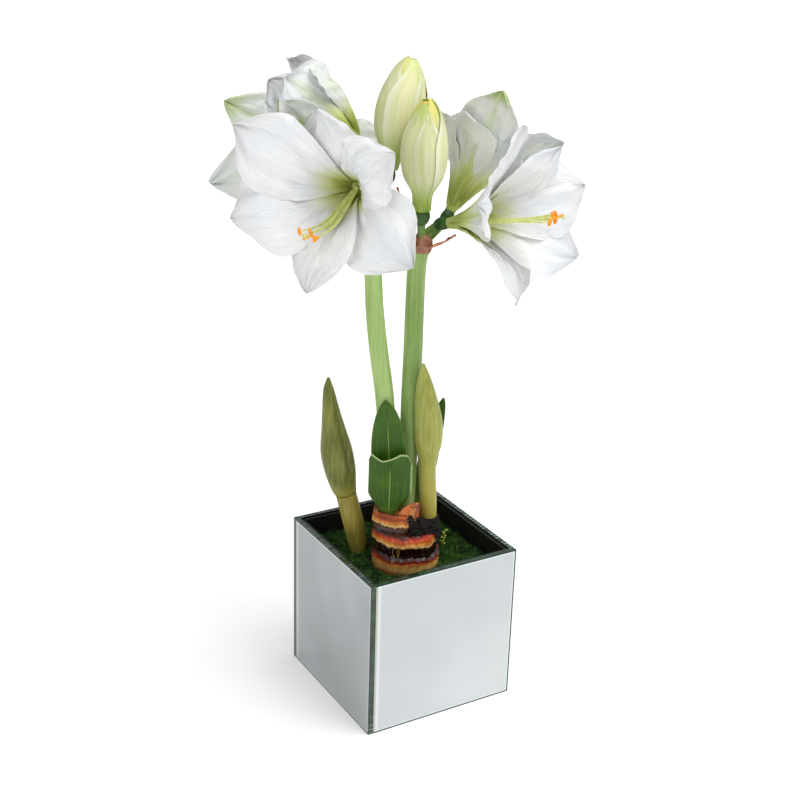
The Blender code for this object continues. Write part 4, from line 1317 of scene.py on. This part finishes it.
@dataclass
class Bulb:
    """The layered bulb, with the torn flap and the dried sleeve round the young stem."""
    levels: list[tuple[float, float, float, float, float]]
    sleeve: list[tuple[float, float, float, float]]
    flap: Strap

    LOW = 97.0
    HIGH = 183.0
    CROWN = ((182.6, 0.90), (180.5, 0.80), (177.0, 0.62), (175.5, 0.30))

    def rings(self, sides: int, steps: int) -> tuple[Array, Array]:
        """Rings of the layers, with fine grooves and ragged lips.

        Args:
            sides: points round each ring.
            steps: rings between two levels.

        Returns:
            The rings, and their nominal heights as a share of the bulb's.
        """
        levels = np.array(self.levels)
        crown = np.array([(h, levels[-1][1] * share, levels[-1][2], levels[-1][3], 0.0) for h, share in self.CROWN])
        levels = np.vstack([levels, crown])
        place = np.arange((len(levels) - 1) * steps + 1) / steps
        rows = np.stack([np.interp(place, np.arange(len(levels)), column) for column in levels.T], axis=1)
        turns = 2 * math.pi * np.arange(sides)[None] / sides
        height, radius, x, y, wander = (rows[:, k:k + 1] for k in range(5))
        rise = wander * (1.5 * np.sin(2 * turns + 0.7) + 0.7 * np.sin(5 * turns))
        rise = rise + wander * (0.55 * np.sin(13 * turns + 1.0) + 0.45 * np.sin(29 * turns))
        wide = radius + 0.5 * np.sin(3 * turns + height / 9)
        wide = wide + 0.24 * np.sin(23 * turns + 2 * np.sin(height / 3.1)) + 0.16 * np.sin(47 * turns + height)
        wide = wide + 0.45 * np.sin(7 * turns + height / 5.0) * np.sin(4 * turns - height / 7.0)
        wide = wide + 0.22 * np.sin(height * 1.7 + 2 * np.sin(2 * turns))
        rings = np.stack([x + wide * np.sin(turns), y + wide * np.cos(turns), height + rise], axis=-1)
        return rings, np.clip((height[:, 0] - self.LOW) / (self.HIGH - self.LOW), 0, 1)

    def build(self, sides: int, steps: int, seed: int = 5) -> None:
        """Make the bulb with its flap, sleeve and loose fibres.

        Args:
            sides: points round it.
            steps: rings between two levels.
            seed: starts the fibres' places.
        """
        shape = Shape("bulb_fine")
        rings, heights = self.rings(sides, steps)
        shape.loft(rings, 0, heights)
        shape.sheet(self.flap.surface(24, 16, 0.8, 0.35), 1.0, (1, 1))
        shape.tube(self.sleeve, 48, 12, slot=2, relief=rough(0.07))
        draw = np.random.default_rng(seed)
        for _ in range(26):
            turn, low = draw.uniform(0, 2 * math.pi), draw.uniform(146, 168)
            start = np.array([22.4 + 9.6 * math.cos(turn), -3 + 9.6 * math.sin(turn), low])
            sway = draw.uniform(-2.2, 2.2, 3)
            knots = [(*start, 0.42), (*(start + sway * 0.5 + UP * 3), 0.36), (*(start + sway + UP * 6), 0.18)]
            shape.tube(knots, 6, 4, slot=2)
        for _ in range(230):
            share = draw.random()
            high = 181.5 - 17.0 * share ** 1.3
            place = np.array([5.0 + 27.0 * share, -30.5 + 17.0 * share ** 1.4, draw.uniform(154.0, high)])
            place = place + draw.normal(0, (1.2, 1.3, 0.8))
            long, wide = draw.normal(0, 1.5, 3), draw.uniform(0.8, 1.9)
            shape.tube([(*(place - long), 0.3), (*place, wide), (*(place + long), 0.3)], 8, 4, slot=2, relief=rough(0.3))
        for turn, wide in ((3.36, 1.0), (3.50, 1.8)):
            foot = np.array([2 + 28.6 * math.sin(turn), -12 + 28.6 * math.cos(turn), 155.0])
            knots = [(0.0, 0.0, 0.0), (-0.8, -0.7, -4.0), (0.2, -0.7, -8.5), (wide, -0.5, -4.5), (wide + 0.2, 0.0, 0.5)]
            shape.tube([(*(foot + knot), 0.2) for knot in knots], 6, 6, slot=3)
        flap = MottledFinish("bulb_flap_skin", tint("6a200c"), tint("c4641e"), tint("e09a4c"), 90.0, 0.6, 0.5, 0.3, 0.15)
        husk = MottledFinish("bulb_husk_skin", tint("060504"), tint("120d0a"), tint("30211a"), 330.0, 1.2, 0.85)
        fibre = MottledFinish("bulb_fibre_skin", tint("b98a2c"), tint("d8b04c"), tint("efd590"), 500.0, 0.1, 0.6)
        shape.piece([TunicFinish().paint(), flap.paint(), husk.paint(), fibre.paint()], ["bulb"],
                    sharp=50.0)


# ---- the ground and the pot


@dataclass
class Ground:
    """Moss over dark soil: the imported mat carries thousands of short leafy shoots."""
    room: float = 66.6
    top: float = 128.0
    relief: float = 2.2
    clear: float = 32.5
    middle: tuple[float, float] = (-4.5, -11.3)

    def height(self, x: Array, y: Array) -> Array:
        """The mat's height."""
        waves = (np.sin(x / 7.1 + 0.6) * np.cos(y / 6.3 + 1.1) + 0.6 * np.sin((x + y) / 4.7)
                 + 0.5 * np.cos((x - 1.3 * y) / 5.9 + 2.0))
        return self.top + self.relief * waves / 2

    def build(self, shoots: int, leaves: int, seed: int = 11) -> None:
        """Make the shoots, and the one yellow-green sprig.

        Args:
            shoots: how many shoots.
            leaves: how many needles each has.
            seed: starts their places.
        """
        draw = np.random.default_rng(seed)
        x, y = draw.uniform(-self.room + 1.5, self.room - 1.5, (2, shoots))
        far = np.hypot(x - self.middle[0], y - self.middle[1]) > self.clear
        x, y = x[far], y[far]
        tall = 2.4 + 4.2 * draw.random(len(x)) ** 2
        shape = Shape("moss_shoots")
        for leaf in range(leaves):
            turn = draw.uniform(0, 2 * math.pi, len(x))
            lean = draw.uniform(0.15, 1.1, len(x))
            low = (leaf / leaves) * 0.6
            foot = np.stack([x, y, self.height(x, y) - 0.6 + tall * low], axis=1)
            reach = tall * (1.0 - 0.5 * low)
            way = np.stack([np.cos(turn) * np.sin(lean), np.sin(turn) * np.sin(lean), np.cos(lean)], axis=1)
            tip = foot + way * reach[:, None]
            tip[:, :2] = np.clip(tip[:, :2], -self.room, self.room)
            shape.spikes(foot, tip, 0.30 + 0.22 * draw.random(len(x)), int(leaf % 3 == 0))
        moss = MottledFinish("moss_shoot_dark", tint("0a2006"), tint("24560f"), tint("5f8f2c"), 48.0, 0.2, 0.75,
                             glow=0.1)
        fresh = MottledFinish("moss_shoot_fresh", tint("153c0a"), tint("40781a"), tint("94b43c"), 48.0, 0.2, 0.7,
                              glow=0.1)
        shape.piece([moss.paint(), fresh.paint()], [], turned=False)
        sprig = Shape("moss_sprig")
        foot = np.array([37.0, 18.0, 126.0])
        sprig.tube([(*foot, 0.8), (*(foot + (1.0, 0.0, 9.0)), 0.7), (*(foot + (2.4, 0.5, 19.0)), 0.3)], 10, 8)
        for k in range(9):
            turn, h = 2.4 * k, 4.0 + 1.7 * k
            start = foot + (0.10 * h, 0.0, h)
            way = np.array([math.cos(turn), math.sin(turn), 0.7])
            sprig.tube([(*start, 0.4), (*(start + way * 1.6), 1.0), (*(start + way * 3.2), 0.15)], 8, 4)
        bright = MottledFinish("moss_sprig_green", tint("8fa832"), tint("b3c64a"), tint("d3dc7c"), 300.0, 0.2, 0.6,
                               glow=0.15)
        sprig.piece([bright.paint()], [])


@dataclass
class Pot:
    """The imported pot: mirror panels with eased edges, base board, black liner and soil."""
    # Painted light and shade: one silver in a lighter copy for the front and back panels and a darker, shaded copy for
    # the left and right panels.
    right: Colour = (0.50, 0.525, 0.535)
    left: Colour = (0.335, 0.35, 0.36)
    bevel: float = 0.5
    # Strength of each panel's painted highlight dashes along its glass edges.
    painted_glints: dict[str, float] = field(default_factory=lambda: {"front": 0.08, "left": 0.35, "back": 0.35, "right": 0.75})

    def dress(self, nodes: dict[str, bpy.types.Object]) -> None:
        """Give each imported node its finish, and ease the glass edges.

        Args:
            nodes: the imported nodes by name.
        """
        # The front and back panels take the lighter silver, and the left and right panels take the darker copy painted
        # as shade.
        for name, facing, side, silver in (("front", Facing.Y, 1.0, self.right), ("back", Facing.Y, -1.0, self.right),
                                           ("left", Facing.X, -1.0, self.left), ("right", Facing.X, 1.0, self.left)):
            glint_strength = self.painted_glints[name]
            panel = nodes[f"pot_panel_{name}"]
            self.coat(panel, MirrorFinish(f"mirror_{name}", facing, side, silver, glint_strength).paint())
            eased = panel.modifiers.new("eased_edges", "BEVEL")
            eased.width = self.bevel * MM
            eased.segments = 2
            eased.limit_method = "ANGLE"
        board = MottledFinish("base_board_grain", tint("15150f"), tint("26241c"), tint("3a372c"), 60.0, 0.3, 0.8, 0.3)
        liner = MottledFinish("liner_black_skin", tint("060606"), tint("0d0d0c"), tint("1b1b19"), 70.0, 0.2, 0.5)
        soil = MottledFinish("soil_crumbs", tint("0f0a06"), tint("23170d"), tint("4a3520"), 210.0, 1.5, 0.95)
        moss = MottledFinish("moss_mat_green", tint("050f04"), tint("0e2a09"), tint("1f4e13"), 240.0, 1.5, 0.95)
        for name, finish in (("pot_base", board), ("pot_liner", liner), ("soil", soil), ("moss", moss)):
            self.coat(nodes[name], finish.paint())

    def coat(self, node: bpy.types.Object, material: bpy.types.Material) -> None:
        """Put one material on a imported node."""
        node.data.materials.clear()
        node.data.materials.append(material)


# ---- the studio


@dataclass
class Studio:
    """Pale floor, bright even sky, one soft key light, and the camera of the photo."""
    azimuth: float = -30.91
    elevation: float = 21.72
    roll: float = 1.70
    eye: tuple[float, float, float] = (-0.5911, -0.9748, 0.7360)
    lens: float = 62.28
    floor: float = 30.0
    sky: float = 0.46

    def build(self) -> None:
        """Make the floor, the lights and the camera."""
        self.build_floor()
        self.build_light()
        self.build_camera()

    def build_floor(self) -> None:
        """Make the floor just under the pot."""
        mesh = bpy.data.meshes.new("floor")
        half = self.floor / 2
        mesh.from_pydata([(-half, -half, 0), (half, -half, 0), (half, half, 0), (-half, half, 0)], [], [(0, 1, 2, 3)])
        floor = bpy.data.objects.new("floor", mesh)
        bpy.context.collection.objects.link(floor)
        mesh.materials.append(FloorFinish().paint())

    def build_light(self) -> None:
        """Make the sky and the key light."""
        world = bpy.data.worlds.new("studio")
        world.use_nodes = True
        back = world.node_tree.nodes["Background"]
        back.inputs["Color"].default_value = (0.985, 0.992, 1.0, 1.0)
        back.inputs["Strength"].default_value = self.sky
        bpy.context.scene.world = world
        for name, spot, watts, size in (("key", (0.70, -0.75, 2.50), 52.0, 1.9), ("fill", (-2.0, -1.0, 1.5), 13.0, 2.0)):
            lamp = bpy.data.lights.new(name, "AREA")
            lamp.energy = watts
            lamp.size = size
            made = bpy.data.objects.new(name, lamp)
            made.location = spot
            made.rotation_euler = (Vector((0, 0, 0.3)) - Vector(spot)).to_track_quat("-Z", "Y").to_euler()
            bpy.context.collection.objects.link(made)

    def build_camera(self) -> None:
        """Make the camera."""
        a, e, r = (math.radians(x) for x in (self.azimuth, self.elevation, self.roll))
        back = Vector((math.sin(a) * math.cos(e), -math.cos(a) * math.cos(e), math.sin(e)))
        right = Vector((0, 0, 1)).cross(back).normalized()
        up = back.cross(right)
        turned = right * math.cos(r) + up * math.sin(r)
        level = up * math.cos(r) - right * math.sin(r)
        lens = bpy.data.cameras.new("view")
        lens.lens = self.lens
        lens.sensor_width = 36.0
        lens.clip_end = 100.0
        camera = bpy.data.objects.new("view", lens)
        camera.matrix_world = Matrix((turned, level, back)).transposed().to_4x4()
        camera.location = self.eye
        bpy.context.collection.objects.link(camera)
        bpy.context.scene.camera = camera
        bpy.context.scene.view_settings.view_transform = "Standard"


# ---- the plant's parts, in millimetres in the plant's frame

FLOWERS = [
    Flower("bloom_left_front", (-42, 3, 472), (-0.42, -0.90, 0.08), [
        Tepal(-60, 93, 74, 70, 100, ruffle=3.0, phase=0.1, widest=0.70),
        Tepal(-13, 65, 60, 64, 80, ruffle=2.5, phase=0.5),
        Tepal(54, 66, 62, 62, 115, ruffle=3.5, phase=0.3, widest=0.66),
        Tepal(126, 85, 46, 78, 105, ruffle=3.0, phase=0.8, widest=0.66),
        Tepal(191, 82, 62, 56, 100, ruffle=2.0, phase=0.2),
        Tepal(-108, 90, 68, 82, 100, ruffle=3.0, phase=0.6, widest=0.66),
    ], 32.0, 74.0, lean=9.0, throat=0.47),
    Flower("bloom_left_back", (-52, 24, 474), (-0.50, 0.85, 0.12), [
        Tepal(5, 60, 66, 62, 85, phase=0.4),
        Tepal(60, 94, 84, 60, 95),
        Tepal(104, 96, 84, 72, 95, phase=0.7),
        Tepal(156, 84, 72, 62, 100, phase=0.3),
        Tepal(222, 74, 62, 62, 100, phase=0.5),
        Tepal(284, 62, 54, 58, 95, phase=0.2),
    ], 14.0, 78.0, rib=0.4, tip=0.65),
    Flower("bloom_left_top", (-46, 14, 507), (-0.77, -0.08, 0.60), [
        Tepal(66, 14, 80, 62, -40, 46, 0.5, 0.1, 34),
        Tepal(126, 22, 74, 44, -30, 36, 0.5, 0.5, 40),
        Tepal(186, 24, 80, 46, -20, 40, 0.5, 0.3, 34),
        Tepal(-110, 30, 86, 46, -20, 36, 0.5, 0.8, 40),
        Tepal(-50, 24, 86, 32, -40, 46, 0.5, 0.2, 34),
        Tepal(6, 20, 72, 46, -40, 36, 0.5, 0.6, 40),
    ], stamens=0, rib=0.55, tip=0.9),
    Flower("bloom_right_front", (30, 2, 443), (0.83, -0.50, 0.24), [
        Tepal(-2, 70, 86, 54, 60, ruffle=3.0, phase=0.2, throat=18),
        Tepal(40, 60, 94, 48, 70, ruffle=1.5, phase=0.6, throat=18),
        Tepal(80, 64, 98, 72, 60, ruffle=3.0, phase=0.4, throat=16, widest=0.66),
        Tepal(128, 77, 82, 66, 80, ruffle=3.0, phase=0.9, throat=16, widest=0.66),
        Tepal(172, 75, 47, 44, 135, ruffle=2.5, phase=0.1, throat=16),
        Tepal(-66, 42, 56, 50, 132, ruffle=3.0, phase=0.6, throat=16),
    ], 4.0, 99.0, throat=0.46),
    Flower("bloom_right_back", (31, 14, 450), (0.45, 0.42, 0.78), [
        Tepal(-8, 44, 70, 64, 60, ruffle=2.5, phase=0.1, throat=20, widest=0.72),
        Tepal(52, 56, 74, 54, 85, ruffle=2.5, phase=0.5, throat=20),
        Tepal(112, 60, 74, 58, 90, ruffle=3.0, phase=0.2, throat=20),
        Tepal(-168, 62, 76, 56, 85, ruffle=3.0, phase=0.7, throat=20),
        Tepal(-108, 60, 92, 58, 75, ruffle=2.0, phase=0.3, throat=22),
        Tepal(-34, 50, 96, 54, 45, ruffle=2.0, phase=0.8, throat=24),
    ], 7.0, 70.0, rib=0.32, tip=0.8),
]

CLOSED = [
    ClosedFlower("bud_left", (-22, 10, 486), (-5, 24, 577), 42.0, 20.0, 15.0, (1.0, 0.985, 0.975, 0.985, 0.97, 0.975),
                 tint("c6ce80"), tint("d8d67c"), 0.50),
    ClosedFlower("bud_right", (7, -5, 456), (9, -20, 551), 38.0, 75.0, 15.0, (0.985, 0.96, 0.975, 1.0, 0.97, 0.975),
                 tint("aac25c"), tint("dfd05a"), 0.66),
]

SCAPES = [
    Scape("scape_left", [(-15.8, -4, 167, 6.8), (-16, -4, 190, 7.2), (-18.9, -5, 273, 8.2), (-26.4, -6, 331, 8.2),
                         (-30.5, -6, 367, 7.9), (-32.2, -6, 394, 7.6), (-35.2, -6, 436, 7.6)],
          [Ovary((-42, 3, 472), (-0.42, -0.90, 0.08)), Ovary((-52, 24, 474), (-0.50, 0.85, 0.12)),
           Ovary((-46, 14, 507), (-0.77, -0.08, 0.60)), Ovary((-22, 10, 486), (17, 14, 91), 7.0)],
          tint("abc47c"), tint("88a758")),
    Scape("scape_right", [(2.5, -4, 167, 6.8), (2.5, -4, 190, 7.2), (2.8, 2, 270, 8.5), (3.6, 5, 328, 8.4),
                          (3.8, 6, 364, 8.3), (4.6, 5, 405, 8.2), (8.6, 4, 426, 8.2)],
          [Ovary((30, 2, 443), (0.83, -0.50, 0.24)), Ovary((31, 14, 450), (0.45, 0.42, 0.78)),
           Ovary((7, -5, 456), (2, -15, 95), 7.0)],
          tint("98b266"), tint("6f8f42")),
]

BRACTS = [
    Bracts("bract_left", (-35.2, -6, 436), (((-62, -2, 462), (14, 12), 7.5, 9.3), ((-20, 14, 452), (10, 10), 7.5, 9.3))),
    Bracts("bract_right", (8.6, 4, 426), (((-14, -8, 475), (2, 22), 7.0, 10.6), ((36, -12, 437), (12, 5), 7.0, 9.2))),
]

LEAVES = [
    Leaf("leaf_front", Strap((-14, -22.5, 169), (-13, -25, 205), (-13, -29, 237), 5.0, 21.0, (0, -1, 0.05), 42.0,
                             0.44, growth=Growth.TRIMMED, swell=0.10), 0.06, 0.02),
    Leaf("leaf_back", Strap((-13, -14.5, 169), (-13, -15.5, 225), (-18.5, -15.5, 287), 5.0, 15.8, (0, 1, 0), 20.0,
                            0.60, 0.6), 0.03, 0.0),
    Leaf("leaf_right", Strap((12, 9, 156), (18, 21, 215), (33, 20, 277), 5.0, 9.0, (0, 1, 0), 20.0, 0.5, 0.6),
         0.04, 0.0),
]

YOUNG = [
    YoungScape("young_left", [(-40.5, 2, 100, 5.0), (-41, 2, 122, 5.6), (-42.2, 1, 138, 8.4), (-45, 0, 156, 9.6),
                              (-49, 0, 172, 9.6), (-53, 0, 188.2, 9.4)],
               ["young_scape_left"], "young_green", ribbed(5, 0.015), tint("a69b48"), tint("80762c"),
               tint("ada252"), 110.0, 150.0),
    YoungScape("young_left_bud", [(-53.2, 0, 188.9, 9.2), (-53.75, 0, 191.1, 10.4), (-56, 0, 199, 12.2),
                                  (-58.8, 0, 213, 14.2), (-62.4, 0, 232, 14.4), (-65.6, 0, 255, 10.4),
                                  (-67.8, 0, 272, 7.6), (-69.8, 0, 290, 4.8), (-70, 0, 301, 1.2)],
               ["young_bud_left"], "bud_green", folded(-0.75, 0.20, 0.30, 0.30, 0.92), tint("86873a"),
               tint("565c1c"), tint("8f8a3e"), 188.0, 205.0),
    YoungScape("young_right", [(21.5, -2, 151, 7.0), (22.3, -2, 166, 7.6), (21.7, -4, 190, 7.7), (20.1, -6, 214, 7.7),
                               (19.7, -8, 230, 8.7), (20, -9, 246, 12.0), (19.4, -9, 265, 12.4), (16.4, -9, 288, 9.8),
                               (14.2, -9, 306, 6.0), (13.1, -9, 320, 1.2)],
               ["young_scape_right"], "young_green", folded(-1.2, 0.12, 0.10, 0.42, 0.97), tint("a8ab58"),
               tint("858a3a"), tint("b2a74a"), 165.0, 262.0),
]

BULB = Bulb(
    [(97, 12, 2, -12, 0), (101, 18, 2, -12, 0), (112, 26, 2, -12, 0), (124, 29.6, 2, -12, 0), (135, 30.6, 2, -12, 0),
     (142, 31, 2, -12, 1), (144, 28.8, 1.5, -12, 1), (153, 27.4, 1.5, -12, 1), (154.5, 29.6, 1.5, -12, 1),
     (161, 28.8, 1, -12, 0.8), (164, 25, -2, -12, 0.6), (165.5, 20.6, -6.5, -11, 0.6), (169.5, 19.4, -6.5, -11, 0.8),
     (171, 21.6, -6.5, -11, 0.8), (177, 20.6, -6.5, -11, 0.4), (183, 19.6, -6.5, -11, 0)],
    [(22.5, -2, 142, 9.4), (22.5, -2, 158, 10.2), (22.3, -2, 170, 9.6)],
    Strap((-2, -29, 172), (6, -30, 186), (14, -21, 191), 8.0, 8.0, (0.2, -1, 0.3), 25.0, 0.35, 0.8),
)


def main() -> None:
    """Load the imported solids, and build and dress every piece."""
    logging.basicConfig(level=logging.INFO, format="%(name)s: %(message)s")
    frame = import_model()
    fine = 2
    Pot().dress(frame["nodes"])
    Ground().build(3400 * fine, 6)
    BULB.build(64 * fine, 3 * fine)
    for leaf in LEAVES:
        leaf.build(36 * fine, 12 * fine)
    for scape in SCAPES:
        scape.build(24 * fine, 6 * fine)
    for bracts in BRACTS:
        bracts.build(16 * fine, 8 * fine)
    for young in YOUNG:
        young.build(28 * fine, 6 * fine)
    for flower in FLOWERS:
        flower.build(28 * fine, 16 * fine)
    for closed in CLOSED:
        closed.build(24 * fine, 12 * fine)
    Studio().build()


if __name__ == "__main__":
    main()
